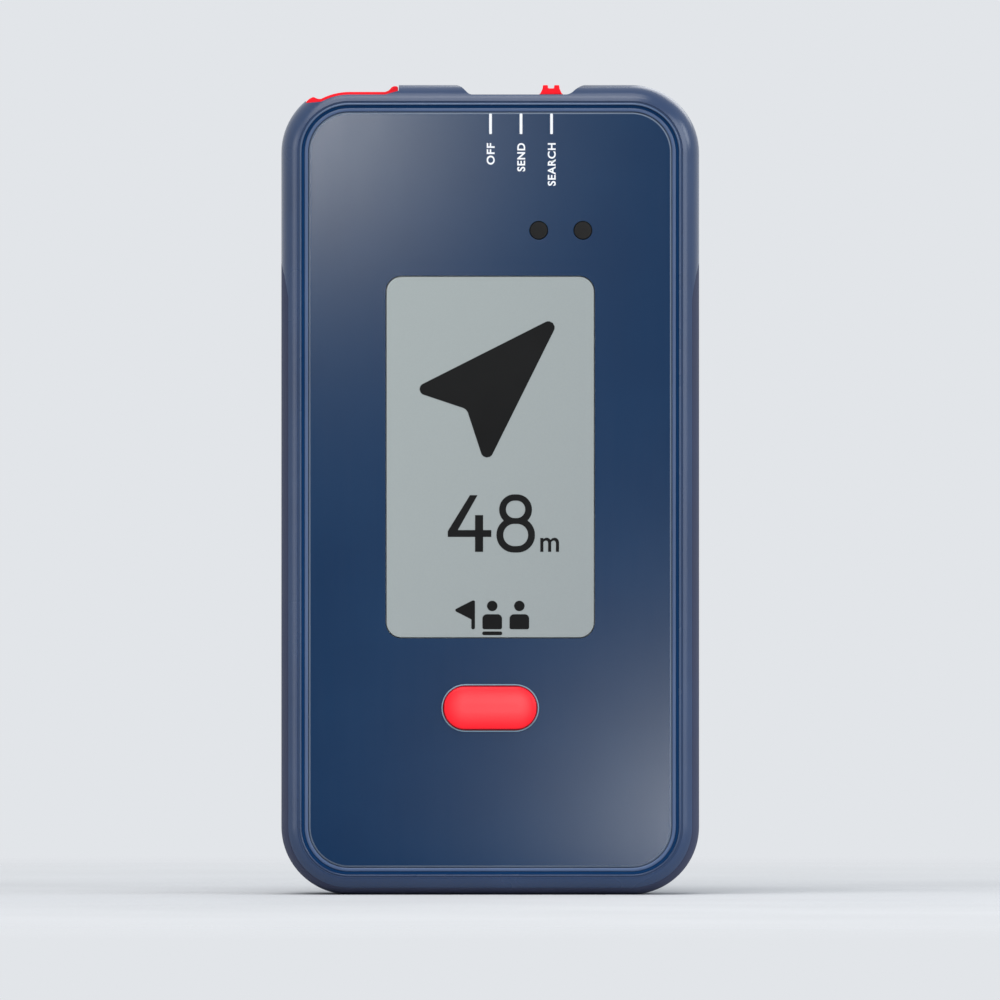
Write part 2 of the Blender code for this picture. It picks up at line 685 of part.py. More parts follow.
def make_rear_shell():
    seam = parting_y + FIT_GAP
    loops = [
        case_loop(WALL_INSET, door_inner),
        case_loop(WALL_INSET, seam),
        case_loop(0.0, seam),
    ]
    for step in range(EDGE_STEPS + 1):
        angle = math.pi / 2 * step / EDGE_STEPS
        inset = REAR_EDGE_INSET * (1 - math.cos(angle))
        loops.append(case_loop(inset, edge_rear + REAR_EDGE_DEPTH * math.sin(angle)))
    shell = skin("rear_shell", loops, "navy_shell")
    in_wall = door_inner + DOOR_THICKNESS / 2
    bay_outer = bay_half + BAY_WALL
    block_low = WALL_INSET + FIT_GAP
    ledge_high = lock_pocket_high + BAY_WALL
    fuse(shell, block("ledge", (-ledge_half, ledge_y - LEDGE_THICKNESS, block_low),
                      (ledge_half, in_wall, ledge_high), "navy_shell"))
    fuse(shell, block("bay", (-bay_outer, bay_floor_front, bay_low - BAY_WALL),
                      (bay_outer, ledge_y - LEDGE_THICKNESS / 2, bay_high + BAY_WALL), "navy_shell"))
    pocket_outer = lock_pocket_half + BAY_WALL
    fuse(shell, block("lock_box", (-pocket_outer, lock_pocket_floor - BAY_WALL, lock_pocket_low - BAY_WALL),
                      (pocket_outer, in_wall, ledge_high), "navy_shell"))
    for x, z in boss_places():
        radius = SCREW_HEAD_RADIUS + BAY_WALL
        column = [(0, radius), (in_wall - seam, radius)]
        fuse(shell, turned("column", "Y", (x, seam, z), column, "navy_shell", SMALL_ROUND_STEPS))
        clear = SCREW_RADIUS + FIT_GAP
        seat = back_y - SCREW_SINK - SCREW_HEAD_HEIGHT - FIT_GAP
        sink = SCREW_HEAD_RADIUS + FIT_GAP
        hole = [(0, clear), (seat - floor_back, clear), (seat - floor_back, sink), (past_case, sink)]
        cut(shell, turned("screw_hole", "Y", (x, floor_back, z), hole, "navy_shell", SMALL_ROUND_STEPS))
    cut(shell, *top_recess_cutters())
    cut(shell, band_seat_cutter())
    cut(shell, block("bay_space", (-bay_half, bay_floor_back, bay_low), (bay_half, past_case, bay_high),
                     "navy_shell"))
    cut(shell, block("lock_space", (-lock_pocket_half, lock_pocket_floor, lock_pocket_low),
                     (lock_pocket_half, door_inner, lock_pocket_high), "navy_shell"))
    cut(shell, plate("door_space", door_outline(FIT_GAP, door_low - HINGE_SWEEP), ledge_y, past_case,
                     "navy_shell"))
    half = HINGE_LENGTH / 2 + FIT_GAP
    cut(shell, block("hinge_space", (-half, hinge_y - hinge_pocket, HINGE_RISE - hinge_pocket - HINGE_SWEEP),
                     (half, past_case, door_low), "navy_shell"))
    pin = HINGE_PIN_RADIUS + FIT_GAP / 2
    reach = half + HINGE_PIN_HOLD
    cut(shell, turned("pin_hole", "X", (-reach, hinge_y, HINGE_RISE), [(0, pin), (2 * reach, pin)],
                      "navy_shell", SMALL_ROUND_STEPS))
    groove = seal_loops(FIT_GAP / 2, ledge_y - DOOR_SEAL_HEIGHT - FIT_GAP / 2, door_inner)
    cut(shell, skin("door_groove", groove, "navy_shell", closed=True))
    for slot in range(GRILLE_SLOTS):
        z = speaker_z + (slot - (GRILLE_SLOTS - 1) / 2) * GRILLE_PITCH
        outline = rounded_rectangle(GRILLE_LENGTH, GRILLE_SLOT_WIDTH, GRILLE_SLOT_WIDTH / 2, SPEAKER_X, z)
        cut(shell, plate("grille_slot", outline, door_inner - FIT_GAP, past_case, "navy_shell"))
    return shell


def action_outline(grow):
    """The pill outline of the action button, grown by a clearance."""
    width = ACTION_WIDTH + 2 * grow
    height = ACTION_HEIGHT + 2 * grow
    return rounded_rectangle(width, height, height / 2, 0.0, action_z)


def door_outline(grow, low):
    """The door's outline; its lower edge is given apart because the hinge needs room to sweep."""
    high = door_high + grow
    return rounded_rectangle(2 * (door_half + grow), high - low, DOOR_CORNER, 0.0, (high + low) / 2)


def seal_loops(grow, front, back):
    """The four loops of the door seal's ring, grown by a clearance."""
    loops = []
    inner = DOOR_SEAL_WIDTH / 2 - grow
    outer = inner + DOOR_SEAL_WIDTH + 2 * grow
    for reach, y in ((inner, front), (outer, front), (outer, back), (inner, back)):
        outline = rounded_rectangle(2 * (bay_half + reach), bay_high - bay_low + 2 * reach,
                                    DOOR_SEAL_WIDTH + reach, 0.0, (bay_high + bay_low) / 2)
        loops.append(at_depth(outline, y))
    return loops


def make_case_seal():
    low = parting_y - SEAL_HEIGHT + FIT_GAP
    high = parting_y + FIT_GAP / 2
    half = SEAL_WIDTH / 2
    section = [(SEAL_INSET - half, low), (SEAL_INSET + half, low), (SEAL_INSET + half, high),
               (SEAL_INSET - half, high)]
    return case_ring("case_seal", section, "seal_rubber")


def make_panel():
    panel = skin("front_panel", [case_loop(PANEL_INSET, panel_front), case_loop(PANEL_INSET, panel_back)],
                 "navy_panel")
    through = (CREST_Y - PANEL_THICKNESS, floor_front)
    aperture = rounded_rectangle(DISPLAY_WIDTH + 2 * BAND_GAP, DISPLAY_HEIGHT + 2 * BAND_GAP,
                                 DISPLAY_CORNER + BAND_GAP, 0.0, display_z)
    cut(panel, plate("aperture", aperture, *through, "navy_panel"))
    cut(panel, plate("action_hole", action_outline(FIT_GAP), *through, "navy_panel"))
    for x in (lamp_left_x, lamp_right_x):
        hole = [(0, LAMP_RADIUS + FIT_GAP / 2), (through[1] - through[0], LAMP_RADIUS + FIT_GAP / 2)]
        cut(panel, turned("lamp_hole", "Y", (x, through[0], lamp_z), hole, "navy_panel"))
    rim_inner = PANEL_INSET - BAND_GAP
    rim_outer = rim_inner - RIM_WIDTH
    rim_front = panel_front + RIM_SETBACK
    rim_back = floor_front - FIT_GAP
    section = [(rim_inner, rim_back), (rim_outer, rim_back)]
    for step in range(EDGE_STEPS + 1):
        angle = math.pi * step / EDGE_STEPS
        inset = (rim_inner + rim_outer) / 2 - RIM_WIDTH / 2 * math.cos(angle)
        section.append((inset, rim_front + RIM_WIDTH / 2 * (1 - math.sin(angle))))
    return panel, case_ring("panel_rim", section, "navy_shell")


def make_display():
    lens_front = panel_front + LENS_SETBACK
    lens = rounded_rectangle(DISPLAY_WIDTH, DISPLAY_HEIGHT, DISPLAY_CORNER, 0.0, display_z)
    plate("display_lens", lens, lens_front, panel_back, "display_grey")
    glass = rounded_rectangle(glass_width, glass_height, FIT_GAP, 0.0, display_z)
    plate("lcd_glass", glass, glass_front, glass_back, "glass")
    frame_outline = rounded_rectangle(frame_width, frame_height, FRAME_WALL, 0.0, display_z)
    frame = plate("lcd_frame", frame_outline, frame_front, frame_back, "white_plastic")
    pocket = rounded_rectangle(glass_width + 2 * FIT_GAP, glass_height + 2 * FIT_GAP, 2 * FIT_GAP,
                               0.0, display_z)
    cut(frame, plate("pocket", pocket, floor_front, backlight_back + FIT_GAP, "white_plastic"))
    strip_low = glass_bottom + FIT_GAP
    strip_high = strip_low + STRIP_WIDTH
    slot_half = STRIP_LENGTH / 2 + FIT_GAP
    cut(frame, block("strip_slot", (-slot_half, glass_front, glass_bottom),
                     (slot_half, board_back, strip_high + FIT_GAP), "white_plastic"))
    block("lcd_strip", (-STRIP_LENGTH / 2, glass_back + FIT_GAP, strip_low),
          (STRIP_LENGTH / 2, board_front - FIT_GAP, strip_high), "seal_rubber")
    light_low = strip_high + 2 * FIT_GAP
    light_high = display_z + glass_height / 2
    light = rounded_rectangle(glass_width, light_high - light_low, FIT_GAP, 0.0, (light_low + light_high) / 2)
    plate("backlight", light, backlight_front, backlight_back, "white_plastic")


def make_lamps():
    for side, x in (("left", lamp_left_x), ("right", lamp_right_x)):
        chip_front = board_front - SOLDER_GAP - CHIP_HEIGHT
        length = chip_front - FIT_GAP - panel_front
        crown = LAMP_RADIUS / 4
        profile = [(0, LAMP_RADIUS - crown), (crown / 3, LAMP_RADIUS), (length, LAMP_RADIUS)]
        turned("status_lens_" + side, "Y", (x, panel_front, lamp_z), profile, "smoke_lens")
        block("status_led_" + side,
              (x - CHIP_LENGTH / 2, chip_front, lamp_z - CHIP_WIDTH / 2),
              (x + CHIP_LENGTH / 2, chip_front + CHIP_HEIGHT, lamp_z + CHIP_WIDTH / 2), "led_yellow")


def make_action_button():
    switch_front = board_front - SOLDER_GAP - CHIP_HEIGHT
    stem_end = switch_front - FIT_GAP / 2 - ACTION_TRAVEL
    crown_y = panel_front - ACTION_PROUD
    flange_front = floor_back + FIT_GAP
    loops = []
    for step in range(EDGE_STEPS):
        angle = math.pi / 2 * step / (EDGE_STEPS - 1)
        grow = -ACTION_EDGE * (1 - math.sin(angle))
        loops.append(at_depth(action_outline(grow), crown_y + ACTION_EDGE * (1 - math.cos(angle))))
    flange_back = flange_front + ACTION_FLANGE_THICKNESS
    loops.append(at_depth(action_outline(0.0), flange_front))
    loops.append(at_depth(action_outline(ACTION_FLANGE), flange_front))
    loops.append(at_depth(action_outline(ACTION_FLANGE), flange_back))
    button = skin("action_button", loops, "signal_red")
    stem = [(0, ACTION_STEM_RADIUS), (stem_end - floor_back, ACTION_STEM_RADIUS)]
    fuse(button, turned("stem", "Y", (0, floor_back, action_z), stem, "signal_red", SMALL_ROUND_STEPS))
    set_origin(button, (0, crown_y, action_z))
    half = SWITCH_SIDE / 2
    switch = rounded_rectangle(SWITCH_SIDE, SWITCH_SIDE, half / 4, 0.0, action_z)
    plate("action_switch", switch, switch_front, board_front - SOLDER_GAP, "black_plastic")


def make_mode_slider():
    foot = recess_floor + FIT_GAP
    base = SLIDER_BASE / 2
    top = SLIDER_TOP / 2
    valley = CASE_HEIGHT - SLIDER_VALLEY
    groove = top - SLIDER_RIDGE
    outline = [
        (slider_x - base, foot),
        (slider_x + base, foot),
        (slider_x + top, CASE_HEIGHT),
        (slider_x + groove, CASE_HEIGHT),
        (slider_x + groove - SLIDER_VALLEY / 4, valley),
        (slider_x - groove + SLIDER_VALLEY / 4, valley),
        (slider_x - groove, CASE_HEIGHT),
        (slider_x - top, CASE_HEIGHT),
    ]
    slider = plate("mode_slider", outline, control_front, control_back, "signal_red")
    half = STEM_WIDTH / 2
    stem_low = (slider_x - half, stem_y - STEM_DEPTH / 2, carriage_bottom + FIT_GAP)
    stem_high = (slider_x + half, stem_y + STEM_DEPTH / 2, foot + FIT_GAP)
    fuse(slider, block("stem", stem_low, stem_high, "signal_red"))
    carriage = block("slider_carriage",
                     (slider_x - CARRIAGE_LENGTH / 2, carriage_front, carriage_bottom),
                     (slider_x + CARRIAGE_LENGTH / 2, carriage_back, carriage_top), "black_plastic")
    socket_half = half + BAND_GAP
    socket_depth = STEM_DEPTH / 2 + BAND_GAP
    cut(carriage, block("socket", (slider_x - socket_half, stem_y - socket_depth, board_top),
                        (slider_x + socket_half, stem_y + socket_depth, CASE_HEIGHT), "black_plastic"))
    pocket_radius = MAGNET_RADIUS + BAND_GAP
    pocket = [(0, pocket_radius), (MAGNET_HEIGHT + FIT_GAP + carriage_bottom - board_top, pocket_radius)]
    cut(carriage, turned("magnet_pocket", "Z", (slider_x, magnet_y, board_top), pocket, "black_plastic",
                         SMALL_ROUND_STEPS))
    magnet = turned("slider_magnet", "Z", (slider_x, magnet_y, carriage_bottom + BAND_GAP),
                    [(0, MAGNET_RADIUS), (MAGNET_HEIGHT, MAGNET_RADIUS)], "steel", SMALL_ROUND_STEPS)
    for piece in (slider, carriage, magnet):
        set_origin(piece, (slider_x, CONTROL_Y, recess_floor))
    block("slider_leaf", (leaf_left, leaf_front, carriage_bottom),
          (leaf_right, leaf_back, carriage_top), "steel")
    for place in range(3):
        x = SLIDER_OFF_X + place * SLIDER_PITCH
        high = board_top - HALL_DROP
        block("hall_sensor_%d" % (place + 1), (x - HALL_SIZE / 2, board_back + SOLDER_GAP, high - HALL_SIZE),
              (x + HALL_SIZE / 2, board_back + SOLDER_GAP + CHIP_HEIGHT, high), "black_plastic")


def make_shoulder_button():
    left = shoulder_left + FIT_GAP
    right = shoulder_right - FIT_GAP
    top_inset = RECESS_DEPTH - SHOULDER_RISE
    outline = [(left, shoulder_bottom), (right, shoulder_bottom)]
    outline += [(right, outline_height(right, top_inset - SHOULDER_LIP)),
                (right - SHOULDER_LIP_LENGTH / 2, outline_height(right, top_inset - SHOULDER_LIP))]
    curve = shoulder_curve(left + SHOULDER_LIP_LENGTH, right - SHOULDER_LIP_LENGTH, top_inset)
    outline += curve
    lip_x = left + SHOULDER_LIP_LENGTH / 2
    outline += [(lip_x, outline_height(lip_x, top_inset - SHOULDER_LIP)),
                (left, outline_height(left, top_inset - SHOULDER_LIP / 2))]
    button = plate("shoulder_button", outline, control_front, control_back, "signal_red")
    flange_low = (-corner_x, control_front - SHOULDER_FLANGE, wall_top - FIT_GAP - SHOULDER_FLANGE_THICKNESS)
    flange_high = (right - FIT_GAP, control_back + SHOULDER_FLANGE, wall_top - FIT_GAP)
    fuse(button, block("flange", flange_low, flange_high, "signal_red"))
    set_origin(button, (shoulder_switch_x, CONTROL_Y, shoulder_bottom))
    coil_spring("shoulder_spring", (shoulder_switch_x, shoulder_switch_y, return_spring_bottom),
                RETURN_SPRING_RADIUS, RETURN_SPRING_WIRE, RETURN_SPRING_LENGTH, RETURN_SPRING_TURNS, "steel")
    half = SWITCH_SIDE / 2
    back = board_back + SOLDER_GAP + SHOULDER_SWITCH_DEPTH
    low = shoulder_switch_top - SHOULDER_SWITCH_HEIGHT
    switch = block("shoulder_switch", (shoulder_switch_x - half, board_back + SOLDER_GAP, low),
                   (shoulder_switch_x + half, back, shoulder_switch_top), "black_plastic")
    plunger_top = shoulder_bottom - SHOULDER_TRAVEL - FIT_GAP / 2
    plunger = [(0, PLUNGER_RADIUS), (plunger_top - low - FIT_GAP, PLUNGER_RADIUS)]
    fuse(switch, turned("plunger", "Z", (shoulder_switch_x, shoulder_switch_y, low + FIT_GAP), plunger,
                        "black_plastic", SMALL_ROUND_STEPS))


def make_board():
    outline = [
        (board_neck_half, board_low), (board_neck_half, board_wide_low), (board_half, board_wide_low),
        (board_half, board_wide_high), (board_neck_half, board_wide_high), (board_neck_half, board_top),
        (-board_neck_half, board_top), (-board_neck_half, board_wide_high), (-board_half, board_wide_high),
        (-board_half, board_wide_low), (-board_neck_half, board_wide_low), (-board_neck_half, board_low),
    ]
    board = plate("main_board", outline, board_front, board_back, "board_green")
    for number, (x, z) in enumerate(post_places, 1):
        radius = BOARD_SCREW_RADIUS + FIT_GAP / 2
        hole = [(0, radius), (board_back - floor_back + BOARD_CLEARANCE, radius)]
        cut(board, turned("board_hole", "Y", (x, floor_back, z), hole, "board_green", SMALL_ROUND_STEPS))
        head = board_back + SOLDER_GAP
        start = floor_back + FIT_GAP
        profile = [
            (0, BOARD_SCREW_RADIUS), (head - start, BOARD_SCREW_RADIUS), (head - start, BOARD_SCREW_HEAD),
            (head - start + BOARD_SCREW_HEAD_HEIGHT, BOARD_SCREW_HEAD),
        ]
        turned("board_screw_%d" % number, "Y", (x, start, z), profile, "steel", SMALL_ROUND_STEPS)
    soldered = board_back + SOLDER_GAP
    half = PROCESSOR_SIDE / 2
    block("microcontroller", (-half, soldered, display_z / 2 - half),
          (half, soldered + PROCESSOR_HEIGHT, display_z / 2 + half), "black_plastic")
    shield_low = bay_high + BAY_WALL + FIT_GAP
    shield_right = third_x - THIRD_RADIUS - FIT_GAP * 2
    shield = block("rf_shield", (shield_right - SHIELD_WIDTH, soldered, shield_low),
                   (shield_right, soldered + SHIELD_HEIGHT, shield_low + SHIELD_LENGTH), "steel")
    space_low = (shield_right - SHIELD_WIDTH + SHIELD_WALL, board_front, shield_low + SHIELD_WALL)
    space_high = (shield_right - SHIELD_WALL, soldered + SHIELD_HEIGHT - SHIELD_WALL,
                  shield_low + SHIELD_LENGTH - SHIELD_WALL)
    cut(shield, block("shield_space", space_low, space_high, "steel"))


def make_antennas():
    bore = ROD_RADIUS + FIT_GAP
    length = long_high - long_low
    turned("long_rod", "Z", (antenna_x, antenna_y, long_low), [(0, ROD_RADIUS), (length, ROD_RADIUS)],
           "ferrite", SMALL_ROUND_STEPS)
    tube("long_coil", "Z", (antenna_x, antenna_y, long_low + LONG_COIL_END),
         length - 2 * LONG_COIL_END, bore, coil_radius, "copper", SMALL_ROUND_STEPS)
    turned("cross_rod", "X", (-CROSS_ROD_LENGTH / 2, antenna_y, cross_z),
           [(0, ROD_RADIUS), (CROSS_ROD_LENGTH, ROD_RADIUS)], "ferrite", SMALL_ROUND_STEPS)
    tube("cross_coil", "X", (-CROSS_COIL_LENGTH / 2, antenna_y, cross_z), CROSS_COIL_LENGTH, bore,
         coil_radius, "copper", SMALL_ROUND_STEPS)
    base = (third_x, board_back + FIT_GAP, third_z)
    turned("third_core", "Y", base, [(0, THIRD_CORE_RADIUS), (THIRD_HEIGHT, THIRD_CORE_RADIUS)], "ferrite")
    tube("third_coil", "Y", base, THIRD_HEIGHT, THIRD_CORE_RADIUS + FIT_GAP, THIRD_RADIUS, "copper")


def make_speaker():
    front = door_inner - FIT_GAP - SPEAKER_DEPTH
    profile = [
        (0, SPEAKER_MAGNET_RADIUS), (SPEAKER_MAGNET_DEPTH, SPEAKER_MAGNET_RADIUS),
        (SPEAKER_MAGNET_DEPTH + SPEAKER_CONE_DEPTH, SPEAKER_RADIUS), (SPEAKER_DEPTH, SPEAKER_RADIUS),
    ]
    turned("speaker", "Y", (SPEAKER_X, front, speaker_z), profile, "black_plastic")


def make_cells():
    side = CELL_RADIUS - 4 * FIT_GAP
    for number in range(CELL_COUNT):
        x = (number - (CELL_COUNT - 1) / 2) * CELL_SPACING
        upright = number % 2 == 0
        nub = [(0, CELL_RADIUS), (CELL_LENGTH, CELL_RADIUS), (CELL_LENGTH, CELL_NUB_RADIUS),
               (CELL_LENGTH + CELL_NUB_HEIGHT, CELL_NUB_RADIUS)]
        low_end = bay_low + 2 * FIT_GAP
        if upright:
            spring_low = low_end
            cell_low = spring_low + CONTACT_LENGTH
            plate_low = cell_low + CELL_LENGTH + CELL_NUB_HEIGHT + FIT_GAP
        else:
            plate_low = low_end
            cell_low = plate_low + CONTACT_THICKNESS + FIT_GAP
            spring_low = cell_low + CELL_LENGTH + CELL_NUB_HEIGHT + FIT_GAP
            nub = [(0, CELL_NUB_RADIUS), (CELL_NUB_HEIGHT, CELL_NUB_RADIUS), (CELL_NUB_HEIGHT, CELL_RADIUS),
                   (CELL_LENGTH + CELL_NUB_HEIGHT, CELL_RADIUS)]
        turned("battery_cell_%d" % (number + 1), "Z", (x, cell_y, cell_low), nub, "cell_wrap")
        coil_spring("battery_spring_%d" % (number + 1), (x, cell_y, spring_low), CONTACT_SPRING_RADIUS,
                    CONTACT_SPRING_WIRE, CONTACT_LENGTH - FIT_GAP, CONTACT_SPRING_TURNS, "steel")
        block("battery_plate_%d" % (number + 1), (x - side, cell_y - side, plate_low),
              (x + side, cell_y + side, plate_low + CONTACT_THICKNESS), "steel")


def make_door():
    door = plate("battery_door", door_outline(0.0, door_low + HINGE_SWEEP), door_inner, back_y, "navy_shell")
    half = HINGE_LENGTH / 2
    fuse(door, block("neck", (-half, door_inner, HINGE_RISE), (half, back_y, door_low + DOOR_CORNER),
                     "navy_shell"))
    barrel = [(0, HINGE_RADIUS), (HINGE_LENGTH, HINGE_RADIUS)]
    fuse(door, turned("barrel", "X", (-half, hinge_y, HINGE_RISE), barrel, "navy_shell"))
    bore = HINGE_PIN_RADIUS + FIT_GAP
    cut(door, turned("pin_bore", "X", (-door_half, hinge_y, HINGE_RISE), [(0, bore), (2 * door_half, bore)],
                     "navy_shell", SMALL_ROUND_STEPS))
    head_front = back_y - LOCK_SINK - LOCK_HEAD_HEIGHT
    seat = head_front - FIT_GAP
    wide = LOCK_RADIUS + FIT_GAP
    shaft_hole = LOCK_SHAFT_RADIUS + FIT_GAP
    hole = [(0, shaft_hole), (seat - lock_shaft_end, shaft_hole), (seat - lock_shaft_end, wide),
            (past_case, wide)]
    cut(door, turned("lock_hole", "Y", (0, lock_shaft_end, lock_z), hole, "navy_shell"))
    set_origin(door, (0, hinge_y, HINGE_RISE))
    skin("door_seal", seal_loops(0.0, ledge_y - DOOR_SEAL_HEIGHT, ledge_y + FIT_GAP / 2), "seal_rubber",
         closed=True)
    pin_half = half + HINGE_PIN_HOLD
    turned("hinge_pin", "X", (-pin_half, hinge_y, HINGE_RISE),
           [(0, HINGE_PIN_RADIUS), (2 * pin_half, HINGE_PIN_RADIUS)], "steel", SMALL_ROUND_STEPS)
    shaft = [(0, LOCK_SHAFT_RADIUS), (head_front - lock_shaft_end, LOCK_SHAFT_RADIUS),
             (head_front - lock_shaft_end, LOCK_RADIUS),
             (head_front - lock_shaft_end + LOCK_HEAD_HEIGHT, LOCK_RADIUS)]
    lock = turned("door_lock", "Y", (0, lock_shaft_end, lock_z), shaft, "black_plastic")
    slot_half = LOCK_SLOT_LENGTH / 2
    head_back = head_front + LOCK_HEAD_HEIGHT
    cut(lock, block("coin_slot", (-LOCK_SLOT_WIDTH / 2, head_back - LOCK_SLOT_DEPTH, lock_z - slot_half),
                    (LOCK_SLOT_WIDTH / 2, past_case, lock_z + slot_half), "black_plastic"))
    cam = turned("lock_cam", "Y", (0, cam_front, lock_z), [(0, CAM_HUB_RADIUS), (CAM_THICKNESS, CAM_HUB_RADIUS)],
                 "steel")
    fuse(cam, block("tongue", (-CAM_WIDTH / 2, cam_front, lock_z), (CAM_WIDTH / 2, cam_back, lock_z + CAM_REACH),
                    "steel"))
    cam_bore = LOCK_SHAFT_RADIUS + BAND_GAP
    cut(cam, turned("cam_bore", "Y", (0, lock_pocket_floor, lock_z),
                    [(0, cam_bore), (back_y - lock_pocket_floor, cam_bore)], "steel"))
    for piece in (lock, cam):
        set_origin(piece, (0, back_y, lock_z))


def make_case_screws():
    head_back = back_y - SCREW_SINK
    tip = parting_y - SCREW_BITE
    for number, (x, z) in enumerate(boss_places(), 1):
        length = head_back - tip
        profile = [(0, SCREW_RADIUS), (length - SCREW_HEAD_HEIGHT, SCREW_RADIUS),
                   (length - SCREW_HEAD_HEIGHT, SCREW_HEAD_RADIUS), (length, SCREW_HEAD_RADIUS)]
        turned("case_screw_%d" % number, "Y", (x, tip, z), profile, "steel", SMALL_ROUND_STEPS)


make_front_shell()
make_rear_shell()
make_case_seal()
make_grip_band()
make_panel()
make_display()
make_lamps()
make_action_button()
make_mode_slider()
make_shoulder_button()
make_board()
make_antennas()
make_speaker()
make_cells()
make_door()
make_case_screws()
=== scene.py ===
# %% [markdown]
# # Dressing a hand-held avalanche beacon
# The real thing is a flat radio beacon that fits in one hand: two navy shells meet at a seam, a rubber
# grip band wraps the sides and the bottom, and a glossy panel with a display covers the front. Its places
# and sizes could be typed in again, but the imported solids already have them. So we load the solids first
# and never move them, and the finer pieces are fitted to them. We also keep the box of the bare solids.

# %% Load the frame
import math

import bmesh
import bpy
from mathutils import Matrix, Vector


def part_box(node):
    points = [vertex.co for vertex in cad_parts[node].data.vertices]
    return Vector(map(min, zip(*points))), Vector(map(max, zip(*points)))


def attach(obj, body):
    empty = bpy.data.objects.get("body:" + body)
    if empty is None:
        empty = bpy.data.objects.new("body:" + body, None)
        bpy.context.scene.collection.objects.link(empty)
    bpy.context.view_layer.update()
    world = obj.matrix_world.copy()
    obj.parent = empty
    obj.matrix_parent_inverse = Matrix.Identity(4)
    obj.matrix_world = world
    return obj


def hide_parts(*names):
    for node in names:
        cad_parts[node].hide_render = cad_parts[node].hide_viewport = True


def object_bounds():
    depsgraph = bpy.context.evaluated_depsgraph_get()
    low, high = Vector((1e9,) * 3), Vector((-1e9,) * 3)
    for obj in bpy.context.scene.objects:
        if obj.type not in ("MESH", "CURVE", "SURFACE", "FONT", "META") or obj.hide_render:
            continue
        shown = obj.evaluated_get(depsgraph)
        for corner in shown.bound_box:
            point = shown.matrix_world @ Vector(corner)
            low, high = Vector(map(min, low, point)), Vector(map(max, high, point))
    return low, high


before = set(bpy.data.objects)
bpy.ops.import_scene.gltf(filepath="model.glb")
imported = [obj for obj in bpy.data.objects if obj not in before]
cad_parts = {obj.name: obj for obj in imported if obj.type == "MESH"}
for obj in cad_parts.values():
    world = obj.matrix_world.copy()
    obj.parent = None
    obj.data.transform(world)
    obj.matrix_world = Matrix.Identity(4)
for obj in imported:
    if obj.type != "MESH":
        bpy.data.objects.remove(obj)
cad_low, cad_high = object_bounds()
MM = 0.001
print("solids:", len(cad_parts), "box in mm:", [round(side / MM, 2) for side in cad_high - cad_low])

# %% [markdown]
# ## The camera
# The picture looks at the front straight on, with hardly any perspective. An orthographic camera would
# show none at all, and the slight depth of the edges would go with it. A camera four metres away with a
# very long lens keeps it. The lens follows from the distance and from the height that the frame shows at
# the case's widest outline.

# %% Camera
VIEW_HEIGHT = 153.2 * MM
VIEW_CENTRE = (1.494 * MM, 60.43 * MM)
OUTLINE_Y = -7.2 * MM
CAMERA_DISTANCE = 4.0
SENSOR = 36.0

camera_data = bpy.data.cameras.new("photo_camera")
camera_data.sensor_width = SENSOR
camera_data.lens = SENSOR * CAMERA_DISTANCE / VIEW_HEIGHT
camera_data.clip_start = 0.1
camera_data.clip_end = 20.0
camera = bpy.data.objects.new("photo_camera", camera_data)
camera.location = (VIEW_CENTRE[0], OUTLINE_Y - CAMERA_DISTANCE, VIEW_CENTRE[1])
camera.rotation_euler = (math.radians(90), 0, 0)
bpy.context.scene.collection.objects.link(camera)
bpy.context.scene.camera = camera
bpy.context.scene.view_settings.view_transform = "Standard"
print("lens in mm:", round(camera_data.lens))

# %% [markdown]
# ## Feeding nodes
# A finish is a small node tree: a shader that is fed by noises, ranges and colours. Each socket could be
# set and joined by hand, but that hides what feeds what. So one helper takes sockets by name, and sets a
# value or joins an output, whichever it is given. Object coordinates are used everywhere, because they
# stay on a piece when it moves.

# %% Feeding nodes
finishes = {}


def wire(output, socket):
    """Join an output to an input."""
    socket.id_data.links.new(output, socket)


def feed(node, **values):
    """Set a node's inputs and settings by name, or join its inputs; _ stands for a space."""
    for key, value in values.items():
        socket = node.inputs.get(key.replace("_", " "))
        if socket is None:
            setattr(node, key, value)
        elif isinstance(value, bpy.types.NodeSocket):
            wire(value, socket)
        else:
            socket.default_value = value
    return node


def add_node(near, kind, **values):
    """A new node in the tree of another node or socket, fed as above."""
    return feed(near.id_data.nodes.new(kind), **values)


def new_finish(key, name):
    """A new material, kept under a key; gives its shader and its object coordinates."""
    finishes[key] = bpy.data.materials.new(name)
    finishes[key].use_nodes = True
    shader = finishes[key].node_tree.nodes["Principled BSDF"]
    return shader, add_node(shader, "ShaderNodeTexCoord").outputs["Object"]


print("finishes so far:", len(finishes))

# %% [markdown]
# ## Noise, ranges and bump
# Wear, drift and grain on a real skin are irregular, and a noise texture stands in for each. Object
# coordinates are in metres, so a noise scale of 1000 makes grains of about a millimetre. A noise stays
# near its middle, so it is stretched over the range that a finish needs. Fine grain could be modelled,
# but a bump is enough for what no outline shows.

# %% Noise, ranges and bump


def noise(place, scale, detail=2.0):
    """Noise on the piece's own coordinates, about 0.5 on average."""
    return add_node(place, "ShaderNodeTexNoise", Vector=place, Scale=scale, Detail=detail).outputs["Fac"]


def stretched(place, scale):
    """Coordinates drawn out, so that a noise on them makes lines."""
    return add_node(place, "ShaderNodeMapping", Vector=place, Scale=scale).outputs["Vector"]


def remap(value, low, high, start=0.3, end=0.7):
    """Stretch the middle of a noise over the range from low to high."""
    spread = dict(From_Min=start, From_Max=end, To_Min=low, To_Max=high)
    return add_node(value, "ShaderNodeMapRange", Value=value, **spread).outputs["Result"]


def bump(height, depth):
    """Normals tilted as if the surface had this height, a depth in mm."""
    node = add_node(height, "ShaderNodeBump", Strength=1.0, Distance=depth * MM, Height=height)
    return node.outputs["Normal"]


print("noise, range and bump helpers ready")

